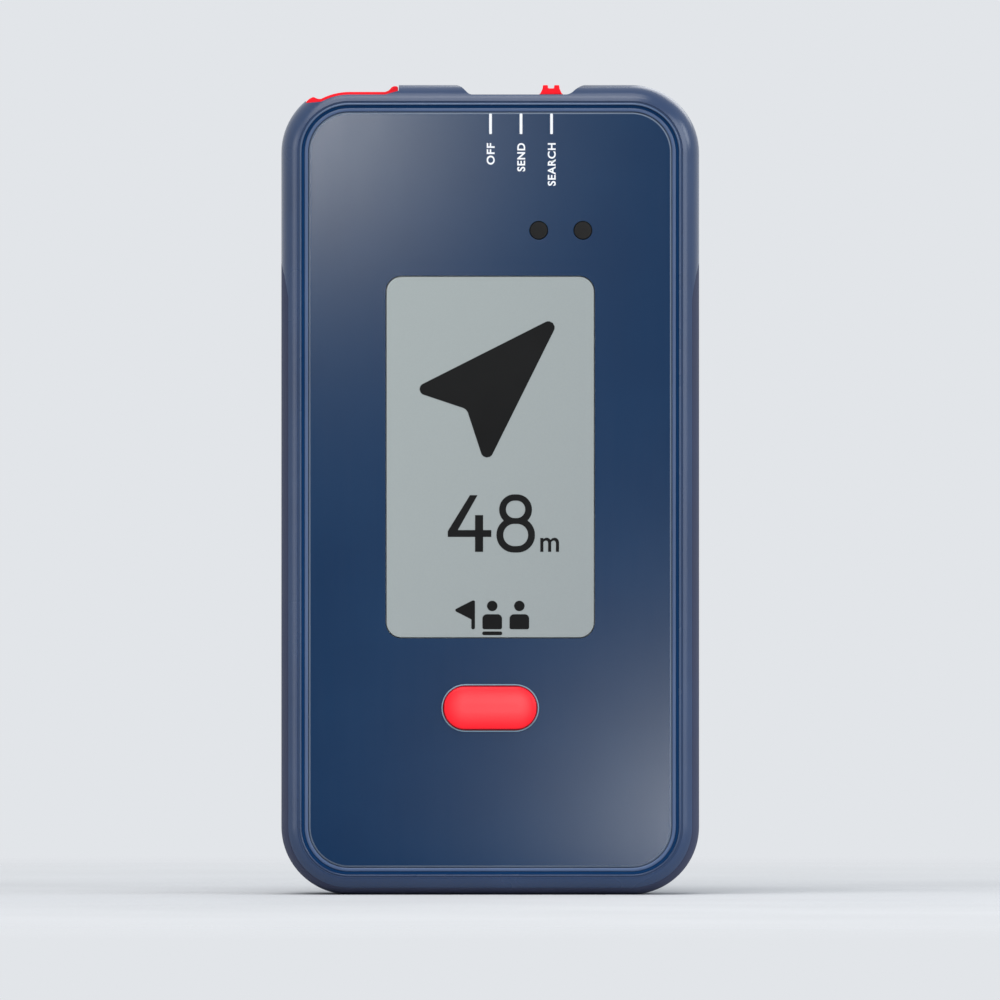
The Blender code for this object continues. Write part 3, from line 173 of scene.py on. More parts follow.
# %% [markdown]
# ## Colours
# We name colours by the numbers that a picture shows, from 0 to 255, because those can be compared by
# eye. Shaders work in linear light, so the first helper undoes the picture's curve. A surface is never
# one flat colour, so the others make ramps: two close tones for a noise to choose from, or bands from the
# foot of a piece to its top.

# %% Colours


def srgb(red, green, blue):
    """A picture's colour in linear light, with full opacity."""
    channels = []
    for value in (red, green, blue):
        share = value / 255
        channels.append(share / 12.92 if share <= 0.04045 else ((share + 0.055) / 1.055) ** 2.4)
    return (*channels, 1.0)


def tones(value, stops, interpolation="LINEAR"):
    """A colour that changes as a value grows, by stops of (value, colour)."""
    node = add_node(value, "ShaderNodeValToRGB", Fac=value)
    node.color_ramp.interpolation = interpolation
    elements = node.color_ramp.elements
    for element, (place, colour) in zip(elements, (stops[0], stops[-1])):
        element.position = place
        element.color = srgb(*colour)
    for place, colour in stops[1:-1]:
        elements.new(place).color = srgb(*colour)
    return node.outputs["Color"]


def two_tone(value, first, second, start=0.35, end=0.65):
    """A colour that goes from the first to the second."""
    return tones(value, ((start, first), (end, second)))


def by_height(place, foot, top, stops, interpolation="LINEAR"):
    """A colour that changes from foot to top, by stops of (share of the way, colour)."""
    height = add_node(place, "ShaderNodeSeparateXYZ", Vector=place).outputs["Z"]
    return tones(remap(height, 0.0, 1.0, foot, top), stops, interpolation)


print("a middle grey in linear light:", round(srgb(128, 128, 128)[0], 3))

# %% [markdown]
# ## Moulded plastics and rubber
# Most pieces are moulded, and a moulded skin is never one flat colour: its tone drifts over centimetres,
# its gloss varies where hands rub it, and a fine spark-eroded grain covers it. Each could have a tree of
# its own, but they differ only in numbers, so one recipe reads them from a table. The front shell's crest
# has its own recipe, a painted highlight: paler along the bead and palest toward the top, where light
# falls.

# %% Moulded finishes
DRIFT = 60.0
SHELL_NAVY = (36, 57, 91)
# Painted highlight for the front shell's crest bead: shell navy at the foot, paler up the sides, palest at
# the top.
CREST_HIGHLIGHT = (57, 78, 110)
CREST_HIGHLIGHT_STOPS = ((0.04, SHELL_NAVY), (0.14, CREST_HIGHLIGHT), (0.90, CREST_HIGHLIGHT), (0.985, (84, 104, 136)))

# Name, two close tones, range of roughness, scale of the grain, its depth in mm, lower specular level.
MOULDED = {
    "shell": ("navy_shell", SHELL_NAVY, (41, 63, 98), (0.22, 0.28), 3200, 0.006),
    "rubber": ("grip_rubber", (40, 47, 74), (46, 54, 82), (0.58, 0.70), 2400, 0.025, 0.4),
    "rim": ("panel_rim", (66, 87, 123), (74, 95, 131), (0.30, 0.38), 3200, 0.006),
    "red": ("signal_red", (250, 16, 34), (255, 26, 42), (0.34, 0.42), 3600, 0.004, 0.25),
    # Painted shade: the button's steep strip, a darker red where it turns away from the light.
    "red_painted_shade": ("red_painted_shade", (176, 8, 24), (186, 12, 30), (0.40, 0.48), 3600, 0.004, 0.2),
    "groove": ("groove_navy", (11, 54, 98), (15, 59, 104), (0.40, 0.50), 3200, 0.006, 0.08),
    # Painted highlight: the bright line along the panel's chamfer.
    "edge": ("chamfer_painted_highlight", (108, 121, 139), (118, 131, 149), (0.18, 0.26), 3600, 0.002),
    # Painted highlight: the pale ring round the button's hole.
    "trim": ("button_trim_painted_highlight", (132, 160, 178), (144, 172, 188), (0.30, 0.38), 3600, 0.004),
    "black": ("black_plastic", (34, 34, 36), (44, 44, 46), (0.42, 0.55), 3000, 0.012),
    "white": ("white_plastic", (224, 224, 220), (236, 236, 232), (0.40, 0.50), 3000, 0.010),
    "seal": ("seal_rubber", (40, 40, 42), (52, 52, 54), (0.70, 0.82), 2600, 0.015),
    "ferrite": ("ferrite", (60, 57, 56), (78, 74, 72), (0.55, 0.70), 1800, 0.030),
    "smoke": ("smoke_lens", (34, 34, 34), (42, 41, 40), (0.34, 0.42), 2000, 0.001, 0.07),
    "glass": ("lcd_glass", (176, 186, 182), (190, 198, 194), (0.06, 0.12), 1500, 0.001),
    "led": ("led_yellow", (236, 222, 150), (246, 234, 170), (0.25, 0.35), 2500, 0.004),
    "ink": ("display_ink", (17, 17, 17), (23, 23, 23), (0.45, 0.55), 2500, 0.002, 0.12),
    "print": ("white_print", (238, 240, 244), (250, 251, 253), (0.45, 0.55), 2500, 0.004),
}


def moulded(key, name, dark, light, gloss, grain, depth, specular=0.5):
    """A moulded skin, from one row of the table."""
    shader, place = new_finish(key, name)
    slow = noise(place, DRIFT, detail=3.0)
    feed(shader, Base_Color=two_tone(slow, dark, light), Roughness=remap(slow, *gloss))
    feed(shader, Normal=bump(noise(place, grain), depth), Specular_IOR_Level=specular)


for key, row in MOULDED.items():
    moulded(key, *row)
# The crest bead's colour is a painted highlight, graded from the foot of the case to its top.
shader, place = new_finish("crest", "shell_crest_painted_highlight")
colour = by_height(place, cad_low.z, cad_high.z, CREST_HIGHLIGHT_STOPS)
feed(shader, Base_Color=colour, Roughness=remap(noise(place, DRIFT, detail=3.0), 0.24, 0.32))
print("moulded finishes:", len(finishes))

# %% [markdown]
# ## The panel's gloss and the display's grey
# The panel is a thin acrylic sheet, coloured on its back and polished in front, with hairline marks that
# show only in a highlight: a stretched noise in its roughness gives them. The display is a reflective
# liquid crystal. It could glow, but the real one only reflects, so it is a matte grey-green film with a
# fine speckle, and with painted light: a shade lighter toward its upper left and darker toward its lower
# right.

# %% Panel and display
shader, place = new_finish("panel", "panel_gloss")
colour = two_tone(noise(place, scale=45.0, detail=3.0), (6, 44, 79), (10, 48, 83))
hairline = noise(stretched(place, (1.0, 1.0, 0.02)), scale=2600, detail=4.0)
feed(shader, Base_Color=colour, Roughness=remap(hairline, 0.21, 0.23), Specular_IOR_Level=0.07)

shader, place = new_finish("display", "display_film")
speckle = noise(place, scale=5200, detail=1.0)
# Painted light: the grey is lighter toward the upper left and darker toward the lower right.
painted_light_slope = add_node(place, "ShaderNodeVectorMath", operation="DOT_PRODUCT", Vector=place)
painted_light_slope.inputs[1].default_value = (9.0, 0.0, -6.0)
tone = add_node(place, "ShaderNodeMath", operation="ADD", Value=painted_light_slope.outputs["Value"])
wire(remap(speckle, 0.87, 0.95), tone.inputs[1])
colour = two_tone(tone.outputs["Value"], (164, 171, 169), (150, 156, 156), 0.15, 0.85)
feed(shader, Base_Color=colour, Roughness=remap(speckle, 0.52, 0.62), Normal=bump(speckle, 0.004))
print("finishes with panel and display:", len(finishes))

# %% [markdown]
# ## Metal, windings, the board and the cells
# Behind the door and inside the shells sit screws, springs, windings, a circuit board and three cells.
# Every turn of wire could be modelled, but the windings are hardly ever seen, so a wave texture draws a
# band for each turn. Steel gets turning marks, the board blocky copper under green lacquer, and each
# cell's wrapper coloured bands.

# %% Metals and inner finishes
WRAPPER_GREY = (58, 62, 68)
WRAPPER_GOLD = (196, 148, 72)
WRAPPER = ((0.0, WRAPPER_GREY), (0.30, WRAPPER_GOLD), (0.36, (34, 36, 40)), (0.78, WRAPPER_GOLD),
           (0.9, WRAPPER_GREY))
CELL_ENDS = (12 * MM, 62 * MM)

shader, place = new_finish("steel", "turned_steel")
lines = noise(stretched(place, (0.15, 1.0, 1.0)), scale=2400, detail=4.0)
feed(shader, Base_Color=two_tone(lines, (168, 168, 166), (196, 196, 194)), Metallic=1.0)
feed(shader, Roughness=remap(lines, 0.24, 0.36), Normal=bump(lines, 0.004))

for key, name, direction in (("wire_z", "winding_upright", "Z"), ("wire_x", "winding_across", "X")):
    shader, place = new_finish(key, name)
    waves = add_node(place, "ShaderNodeTexWave", Vector=place, Scale=620.0, bands_direction=direction)
    turns = waves.outputs["Fac"]
    feed(shader, Base_Color=two_tone(turns, (138, 74, 40), (208, 132, 84), 0.1, 0.8), Metallic=1.0)
    feed(shader, Roughness=remap(turns, 0.42, 0.28), Normal=bump(turns, 0.06))

shader, place = new_finish("board", "board_lacquer")
areas = add_node(place, "ShaderNodeTexVoronoi", Vector=place, Scale=420.0, distance="CHEBYCHEV")
copper = areas.outputs["Distance"]
feed(shader, Base_Color=two_tone(copper, (24, 92, 58), (16, 66, 42), 0.30, 0.36))
feed(shader, Roughness=remap(copper, 0.26, 0.40), Normal=bump(copper, 0.03))

for key, ends in (("cell", CELL_ENDS), ("cell_turned", CELL_ENDS[::-1])):
    shader, place = new_finish(key, key.replace("cell", "cell_wrapper"))
    crease = noise(place, scale=300.0, detail=3.0)
    feed(shader, Base_Color=by_height(place, *ends, WRAPPER, "CONSTANT"))
    feed(shader, Roughness=remap(crease, 0.24, 0.36), Normal=bump(crease, 0.02))
print("finishes in all:", len(finishes))

# %% [markdown]
# ## Modelling helpers: a rounded face that steps forward
# Nearly every piece of the case is a rounded rectangle drawn through depth, pulled in or let out a little
# at each step. A cube with a bevel modifier would round all its edges alike. So we start from one upright
# face with bevelled corners, and use the inset operator for each step: it keeps the corners concentric,
# as a moulding tool's cutter does.

# %% Rounded faces and steps
CORNER_SEGMENTS = 20
MERGE_DISTANCE = 0.002 * MM


def round_off(bm, corners, radius, segments):
    """Bevel a face's corners to a radius in mm, and give the new ones."""
    return bmesh.ops.bevel(bm, geom=corners, offset=radius * MM, offset_type="OFFSET", segments=segments,
                           profile=0.5, affect="VERTICES", material=-1)["verts"]


def rounded_face(bm, outline, y, segments=CORNER_SEGMENTS):
    """An upright face at depth y, looking toward -Y; its outline is (width, height, radius, x, z) in mm."""
    width, height, radius, x, z = outline
    corners = bmesh.ops.create_grid(bm, x_segments=1, y_segments=1, size=0.5)["verts"]
    bmesh.ops.scale(bm, vec=(width * MM, height * MM, 1), verts=corners)
    upright = Matrix.Translation(Vector((x, y, z)) * MM) @ Matrix.Rotation(math.radians(90), 4, "X")
    bmesh.ops.transform(bm, matrix=upright, verts=corners)
    return round_off(bm, corners, radius, segments)[0].link_faces[0]


def step(bm, face, inset, forward):
    """Draw a face in and move it forward, in mm, leaving a strip of faces behind it."""
    bmesh.ops.inset_region(bm, faces=[face], thickness=inset * MM, depth=forward * MM,
                           use_boundary=True, use_even_offset=True)


def follow(bm, face, places):
    """Step a face through (inset, y) places in mm; the first is where it is now."""
    for (inset, y), (next_inset, next_y) in zip(places, places[1:]):
        step(bm, face, next_inset - inset, y - next_y)


def arc(centre, radii, start, end, steps):
    """Places (inset, y) on an elliptic arc in mm; angles in degrees go from +inset toward -y."""
    places = []
    for index in range(steps + 1):
        angle = math.radians(start + (end - start) * index / steps)
        places.append((centre[0] + radii[0] * math.cos(angle), centre[1] - radii[1] * math.sin(angle)))
    return places


def open_rims(bm):
    """The edges that have a face on one side only."""
    return [edge for edge in bm.edges if edge.is_boundary]


def close_rims(bm):
    """Cover each open rim with one face."""
    bmesh.ops.holes_fill(bm, edges=open_rims(bm), sides=0)


print("rounded faces have", 4 * (CORNER_SEGMENTS + 1), "corners")

# %% [markdown]
# ## Modelling helpers: from a bmesh to a piece
# A bmesh is a mesh that is still being worked on. When it is done, doubled points are merged, its faces
# are turned outward and it becomes an object at the origin. Round stretches are shaded smooth and real
# edges stay sharp, by the angle at which faces meet, so that no edge has to be marked by hand.

# %% Pieces


def shade(piece, angle=34):
    """Smooth round stretches, and keep edges that turn more than the angle."""
    piece.data.shade_smooth()
    piece.data.set_sharp_from_angle(angle=math.radians(angle))


def to_piece(bm, name):
    """Merge a bmesh, turn its faces outward and make it an object at the origin."""
    bmesh.ops.remove_doubles(bm, verts=bm.verts, dist=MERGE_DISTANCE)
    bmesh.ops.recalc_face_normals(bm, faces=bm.faces)
    mesh = bpy.data.meshes.new(name)
    bm.to_mesh(mesh)
    bm.free()
    piece = bpy.data.objects.new(name, mesh)
    bpy.context.scene.collection.objects.link(piece)
    shade(piece)
    return piece


def reopen(piece):
    """A piece's mesh as a bmesh, to work on it again."""
    bm = bmesh.new()
    bm.from_mesh(piece.data)
    return bm


def put_back(bm, piece):
    """Write a bmesh back into its piece."""
    bm.to_mesh(piece.data)
    bm.free()


print("points closer than", MERGE_DISTANCE / MM, "mm are merged")

# %% [markdown]
# ## Joining and cutting
# Bosses, ribs and holes are shapes of their own in the real mould. They could be extruded from the faces
# around them, but every face would first need a fitting cut. The exact Boolean joins closed shapes or
# cuts them away, and works out those cuts itself. It can leave tiny edges behind, so these are merged
# each time.

# %% Joining and cutting


def carve(piece, operation, tools):
    """Work closed shapes into a piece with the exact Boolean, then drop them."""
    for tool in tools:
        modifier = piece.modifiers.new(operation.lower(), "BOOLEAN")
        modifier.operation = operation
        modifier.object = tool
        modifier.solver = "EXACT"
        bpy.context.view_layer.update()
        worked = piece.evaluated_get(bpy.context.evaluated_depsgraph_get())
        piece.data = bpy.data.meshes.new_from_object(worked)
        piece.modifiers.clear()
        bpy.data.objects.remove(tool, do_unlink=True)
        bm = reopen(piece)
        bmesh.ops.remove_doubles(bm, verts=bm.verts, dist=MERGE_DISTANCE)
        bmesh.ops.dissolve_degenerate(bm, edges=bm.edges, dist=MERGE_DISTANCE)
        put_back(bm, piece)
    shade(piece)


def unite(piece, *tools):
    """Join closed shapes on."""
    carve(piece, "UNION", tools)


def cut(piece, *tools):
    """Cut closed shapes away."""
    carve(piece, "DIFFERENCE", tools)


print("joining and cutting ready")

# %% [markdown]
# ## Dressing
# Large flats beside small bevels can look dented when their normals are averaged, so a weighted-normal
# modifier lets the large faces lead.

# %% Dressing


def dress(piece, finish, body, slot, *nodes):
    """Give a piece its finish, its body and the solids it stands for; slot is not used."""
    piece.data.materials.clear()
    piece.data.materials.append(finishes[finish])
    flats = piece.modifiers.new("flat_faces", "WEIGHTED_NORMAL")
    flats.keep_sharp = True
    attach(piece, body)
    if nodes:
        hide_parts(*nodes)
    print(piece.name, "has", len(piece.data.polygons), "faces")


print("finishes to choose from:", len(finishes))

# %% [markdown]
# ## Flat shapes
# Most openings in the shells are the print of a flat tool: a rounded plate, a box, or an outline run from
# front to back. A plate and an outline start as one face that is pushed through the depth, so that one
# stepping helper serves many pieces. A box is the operator's own cube, sized and moved.

# %% Flat shapes
CASE_WIDTH = (cad_high.x - cad_low.x) / MM
CASE_HEIGHT = (cad_high.z - cad_low.z) / MM
CASE_CORNER = 10.4


def case_outline(inset):
    """The case's outline, drawn in by an inset."""
    return CASE_WIDTH - 2 * inset, CASE_HEIGHT - 2 * inset, CASE_CORNER - inset, 0, CASE_HEIGHT / 2


def stepped(name, outline, places, segments=CORNER_SEGMENTS):
    """A closed shape: an outline stepped through (inset, y) places."""
    bm = bmesh.new()
    follow(bm, rounded_face(bm, outline, places[0][1], segments), places)
    close_rims(bm)
    return to_piece(bm, name)


def plate(name, width, height, radius, x, z, front, back):
    """A rounded plate about (x, z), from front to back."""
    return stepped(name, (width, height, radius, x, z), [(0, back), (0, front)], segments=10)


def box(name, low, high):
    """A box between two corners."""
    bm = bmesh.new()
    bmesh.ops.create_cube(bm, size=MM)
    bmesh.ops.scale(bm, vec=Vector(high) - Vector(low), verts=bm.verts)
    bmesh.ops.translate(bm, vec=(Vector(low) + Vector(high)) / 2 * MM, verts=bm.verts)
    return to_piece(bm, name)


def prism(name, corners, front, back, rounding=(), segments=8):
    """A shape drawn by its (x, z) corners, run from front to back; rounding is (corner, radius) pairs."""
    bm = bmesh.new()
    points = [bm.verts.new((x * MM, back * MM, z * MM)) for x, z in corners]
    bm.faces.new(points)
    for corner, radius in rounding:
        round_off(bm, [points[corner]], radius, segments)
    face = bm.faces[:][0]
    face.normal_update()
    if face.normal.y > 0:
        bmesh.ops.reverse_faces(bm, faces=[face])
    step(bm, face, 0, back - front)
    close_rims(bm)
    return to_piece(bm, name)


print("case outline in mm:", round(CASE_WIDTH, 2), "x", round(CASE_HEIGHT, 2))

# %% [markdown]
# ## Turned shapes and rings
# Screws, lamps, cells and round holes are turned on the real object, so half a profile is spun round an
# axis. A ring that follows the case's outline could be cut from a larger plate, but its section would
# have to be square. Stepping one outline through the section and joining its last rim to the first gives
# any section.

# %% Turned shapes and rings


def turned(name, axis, base, profile, steps=48):
    """(distance, radius) points in mm from a base, spun once round an axis."""
    bm = bmesh.new()
    along = {"X": Vector((1, 0, 0)), "Y": Vector((0, 1, 0)), "Z": Vector((0, 0, 1))}[axis]
    across = Vector((0, 0, 1)) if axis == "Y" else Vector((0, 1, 0))
    points = [bm.verts.new((Vector(base) + along * d + across * r) * MM) for d, r in profile]
    edges = [bm.edges.new(pair) for pair in zip(points, points[1:])]
    bmesh.ops.spin(bm, geom=points + edges, cent=Vector(base) * MM, axis=along, angle=2 * math.pi,
                   steps=steps, use_merge=True, dvec=(0, 0, 0))
    return to_piece(bm, name)


def rod(name, axis, base, length, radius, steps=32):
    """A plain rod with closed ends."""
    return turned(name, axis, base, [(0, 0), (0, radius), (length, radius), (length, 0)], steps)


def ring(name, places):
    """A ring round the case, stepped through (inset, y) places; its last rim is joined to its first."""
    bm = bmesh.new()
    face = rounded_face(bm, case_outline(places[0][0]), places[0][1])
    follow(bm, face, places)
    bmesh.ops.delete(bm, geom=[face], context="FACES_ONLY")
    bmesh.ops.bridge_loops(bm, edges=open_rims(bm))
    return to_piece(bm, name)


print("turned shapes and rings ready")

# %% [markdown]
# ## Trimming and softening
# Moulded ends are cut at a slant, and their edges are never quite sharp. A plane slices a piece and the
# cut is covered again, which is simpler than a Boolean with a large block. A bevel on the edges that turn
# most then softens them, wherever they are.

# %% Trimming and softening


def trim(piece, point, normal):
    """Slice off what lies beyond a plane, and close the cut."""
    bm = reopen(piece)
    bmesh.ops.bisect_plane(bm, geom=bm.verts[:] + bm.edges[:] + bm.faces[:], dist=MERGE_DISTANCE,
                           plane_co=Vector(point) * MM, plane_no=normal, clear_outer=True)
    close_rims(bm)
    bmesh.ops.recalc_face_normals(bm, faces=bm.faces)
    put_back(bm, piece)
    shade(piece)


def soften(piece, width, angle=48, segments=3):
    """Round off the edges that turn more than the angle."""
    bm = reopen(piece)
    sharp = [edge for edge in bm.edges if edge.is_manifold and edge.calc_face_angle() > math.radians(angle)]
    bmesh.ops.bevel(bm, geom=sharp, offset=width * MM, offset_type="OFFSET", segments=segments, profile=0.5,
                    affect="EDGES", clamp_overlap=True, material=-1)
    put_back(bm, piece)
    shade(piece)


print("trimming and softening ready")

# %% [markdown]
# ## The grip band
# A strip of soft rubber lies flush in a seat round the sides and the bottom, and its upper ends curve
# down over the front edge. It could be a curve with a profile, but its section has to follow the case's
# rounding exactly. So it is a ring stepped through that section, with its ends sliced off by a few
# planes. It is drawn in by a hair, to stay inside the solids' box.

# %% Grip band
FRONT_ROUND = ((3.0, -7.2), (3.0, 4.5))
REAR_ROUND = ((3.2, 7.6), (3.2, 4.699))
BAND_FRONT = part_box("grip_band")[0].y / MM
BAND_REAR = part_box("grip_band")[1].y / MM
BAND_THICKNESS = 1.25
BAND_DRAW = 0.002
BAND_END = ((-10.5, 91.4), (-10.1, 93.1), (-9.5, 94.7), (-8.4, 96.2), (-7.2, 96.8))


def slanted_end(piece, gap):
    """Cut a ring at the band's upper ends: level behind, round down over the front edge."""
    trim(piece, (0, 0, BAND_END[-1][1] + gap), (0, 0, 1))
    for (low_y, low_z), (high_y, high_z) in zip(BAND_END, BAND_END[1:]):
        slant = Vector((0, low_z - high_z, high_y - low_y)).normalized()
        trim(piece, Vector((0, high_y, high_z)) + slant * gap, slant)


rear_turn = math.degrees(math.asin((BAND_REAR - REAR_ROUND[0][1]) / REAR_ROUND[1][1]))
front_turn = math.degrees(math.asin((FRONT_ROUND[0][1] - BAND_FRONT) / FRONT_ROUND[1][1]))
band_places = arc(*REAR_ROUND, start=180 + rear_turn, end=180, steps=8)
band_places += arc(*FRONT_ROUND, start=180, end=180 - front_turn, steps=10)
band_places += [(BAND_THICKNESS, BAND_FRONT), (BAND_THICKNESS, BAND_REAR)]
grip_band = ring("grip_band_skin", [(inset + BAND_DRAW, y) for inset, y in band_places])
slanted_end(grip_band, 0.0)
soften(grip_band, width=0.12)
dress(grip_band, "rubber", "case", "grip_rubber", "grip_band")

# %% [markdown]
# ## What both shells share
# Two shallow recesses cross the top edge from front to back: a straight one for the slider, with S-shaped
# ends, and one for the left shoulder's button, which follows the round corner. The band's seat is the
# band's own ring a hair bigger. All three cross the seam, so each is a helper that makes a fresh tool for
# either shell.

# %% Shared cutting tools
TOP = CASE_HEIGHT
RECESS_FLOOR = TOP - 1.5
DEEP = 30.0
OUTSIDE = 1.5
SEAT_GAP = 0.15
SHOULDER_SPAN = (-28.3, -14.0)
LEFT_RISE = ((-26.2, 0, TOP - 2.62), (0.08, 0, -1))
RIGHT_RISE = ((SHOULDER_SPAN[1], 0, RECESS_FLOOR + 0.6), (0.6, 0, -2.1))


def band_seat():
    """The band's seat, a gap wider than the band on each side."""
    inner = BAND_THICKNESS + SEAT_GAP
    front = BAND_FRONT - SEAT_GAP
    rear = BAND_REAR + SEAT_GAP
    seat = ring("band_seat", [(-OUTSIDE, rear), (-OUTSIDE, front), (inner, front), (inner, rear)])
    slanted_end(seat, SEAT_GAP)
    return seat


def slider_recess():
    """The slider's recess: a flat floor between two S-shaped ramps."""
    right = [(12.2, RECESS_FLOOR), (13.28, TOP - 0.46), (14.4, TOP + 0.02), (14.4, TOP + OUTSIDE)]
    left = [(-5.25, TOP + OUTSIDE), (-5.25, TOP + 0.02), (-4.45, TOP - 0.22), (-3.2, RECESS_FLOOR)]
    rounding = ((0, 0.65), (1, 0.6), (6, 0.45), (7, 0.45))
    return prism("slider_recess", right + left, -DEEP, DEEP, rounding)


def shoulder_recess():
    """The left shoulder's recess: it follows the corner, and its floor rises at both ends."""
    depth = TOP - RECESS_FLOOR
    tool = ring("shoulder_recess", [(-OUTSIDE, DEEP), (-OUTSIDE, -DEEP), (depth, -DEEP), (depth, DEEP)])
    trim(tool, (SHOULDER_SPAN[0], 0, 0), (-1, 0, 0))
    trim(tool, (SHOULDER_SPAN[1], 0, 0), (1, 0, 0))
    for point, normal in (LEFT_RISE, RIGHT_RISE):
        trim(tool, point, Vector(normal).normalized())
    return tool


print("recess floor at", round(RECESS_FLOOR, 2), "mm, band seat gap", SEAT_GAP, "mm")

# %% [markdown]
# ## The front shell
# The front shell is a cup that carries the panel. Its outer face runs forward from the seam, rounds in
# over a quarter ellipse to a fine bead along its crest, and drops to the panel's bed. A Solidify modifier
# could give it a wall, but the inside is plainer than the outside. So an inner cup is stepped too, and a
# bridge joins the two at the seam. Screw bosses, board posts and a rib for the slider's spring are joined
# on inside.

# %% Front shell
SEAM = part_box("front_shell")[1].y / MM
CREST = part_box("front_shell")[0].y / MM
BED_FLOOR = -10.0
INNER_FLOOR = -8.5
WALL = 3.4
ROUND_END = 2.57
BEAD_START = 2.78
BEAD_MIDDLE = 2.96
BEAD_HALF = 0.15
BEAD_HEIGHT = 0.14
BEAD_FOOT = CREST + 0.18
GROOVE_WALL = 3.13
GROOVE_LIP = CREST + 0.25
POST_FOOT = -9.2
PILOT_FLOOR = -2.3
BOSSES = ((-24.0, 11.5), (24.0, 11.5), (-24.0, 112.5), (24.0, 112.5))
POSTS = ((24.39, 67.0), (-24.39, 17.35))


def cup(name, outer_places, inner_places):
    """A walled cup: an inner skin and an outer one, joined at the rim where both begin."""
    bm = bmesh.new()
    for places in (inner_places, outer_places):
        bmesh.ops.reverse_faces(bm, faces=bm.faces)
        follow(bm, rounded_face(bm, case_outline(places[0][0]), places[0][1]), places)
    bmesh.ops.bridge_loops(bm, edges=open_rims(bm))
    return to_piece(bm, name)


front_places = [(0.0, SEAM)] + arc(*FRONT_ROUND, start=180, end=99.6, steps=14)
front_places += [(ROUND_END, BEAD_FOOT), (BEAD_START, BEAD_FOOT)]
front_places += arc((BEAD_MIDDLE, CREST + BEAD_HEIGHT), (BEAD_HALF, BEAD_HEIGHT), start=180, end=0, steps=8)
front_places += [(GROOVE_WALL, GROOVE_LIP), (GROOVE_WALL, BED_FLOOR)]
front_shell = cup("front_shell_skin", front_places, [(WALL, SEAM), (WALL, INNER_FLOOR)])
for boss_x, boss_z in BOSSES:
    unite(front_shell, rod("boss", "Y", (boss_x, POST_FOOT, boss_z), length=13.4, radius=2.75))
    cut(front_shell, rod("pilot", "Y", (boss_x, PILOT_FLOOR, boss_z), length=12, radius=1.25, steps=16))
for post_x, post_z in POSTS:
    unite(front_shell, rod("post", "Y", (post_x, POST_FOOT, post_z), length=3.6, radius=2.2))
    cut(front_shell, rod("post_hole", "Y", (post_x, INNER_FLOOR, post_z), length=8, radius=0.95, steps=16))
unite(front_shell, box("leaf_rib", (-3.76, 1.35, 118.1), (13.18, 2.35, 120.9)))
cut(front_shell, slider_recess(), shoulder_recess(), band_seat())
print("front shell from", round(CREST, 2), "to", round(SEAM, 2), "mm")

# %% [markdown]
# ## The front shell's openings
# The openings are cut next: the seal's groove, the display's window, holes for the button and the lamps,
# the slider's slot and the shoulder button's port. The bead along the crest is painted paler, as a painted
# highlight. It could be a piece of its own, but it is one moulding with the shell, so it gets a second
# material slot: its faces lie far enough in from the outline, and near the crest.

# %% Front shell openings
WALL_CUT = (-12, -5)
SEAL = (2.0, 2.8)
SEAL_FLOOR = SEAM - 0.75
WINDOW = (36.75, 60.2, 0.6)
DISPLAY_Z = 67.0
BUTTON_Z = 28.6
BUTTON_HOLE = (15.0, 7.35, 3.67, 0, BUTTON_Z)
LAMPS = ((7.425, 101.7), (14.175, 101.7))


def lamp_holes(front, back, radius, steps=32):
    """A rod through both lamps' places."""
    return [rod("lamp_hole", "Y", (x, front, z), back - front, radius, steps) for x, z in LAMPS]


def case_inset(point):
    """How far inside the case's outline a point lies, in mm."""
    beyond_x = max(abs(point.x) / MM - CASE_WIDTH / 2 + CASE_CORNER, 0)
    beyond_z = max(abs(point.z / MM - CASE_HEIGHT / 2) - CASE_HEIGHT / 2 + CASE_CORNER, 0)
    return CASE_CORNER - math.hypot(beyond_x, beyond_z)


def on_bead(face):
    """Whether a face of the front shell belongs to its bead."""
    return case_inset(face.center) > BEAD_START and face.center.y < (CREST + BEAD_HEIGHT) * MM


def second_finish(piece, finish, chosen):
    """Give another finish to the faces that a test chooses."""
    piece.data.materials.append(finishes[finish])
    for face in piece.data.polygons:
        if chosen(face):
            face.material_index = 1


seal_places = [(SEAL[0], SEAM + 1), (SEAL[0], SEAL_FLOOR), (SEAL[1], SEAL_FLOOR), (SEAL[1], SEAM + 1)]
cut(
    front_shell,
    ring("seal_groove", seal_places),
    plate("window", *WINDOW, 0, DISPLAY_Z, *WALL_CUT),
    plate("button_hole", *BUTTON_HOLE, *WALL_CUT),
    *lamp_holes(*WALL_CUT, radius=1.57),
    box("slider_slot", (-1.16, -5.5, 119.1), (10.58, -2.7, 126)),
    box("shoulder_port", (SHOULDER_SPAN[0], -7.3, 117.45), (SHOULDER_SPAN[1], 2.3, 126)),
)
dress(front_shell, "shell", "case", "shell_plastic", "front_shell")
# The bead's faces take the crest's painted highlight.
second_finish(front_shell, "crest", on_bead)

# %% [markdown]
# ## The rear shell
# The rear shell is the same cup turned round, and closes the case from behind. A ledge that the door
# closes on, the bay's walls, a box for the lock and a column for each screw are boxes and rods joined on.
# They come before the cuts, in the order a toolmaker would machine them, so that each cut goes through
# all that it meets.

# %% Rear shell
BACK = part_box("rear_shell")[1].y / MM - 0.001
REAR_SEAM = SEAM + 0.3
BACK_WALL = 10.5
SUNK = [(0, 0), (0, 1.4), (18.6, 1.4), (18.6, 2.5), (40, 2.5), (40, 0)]

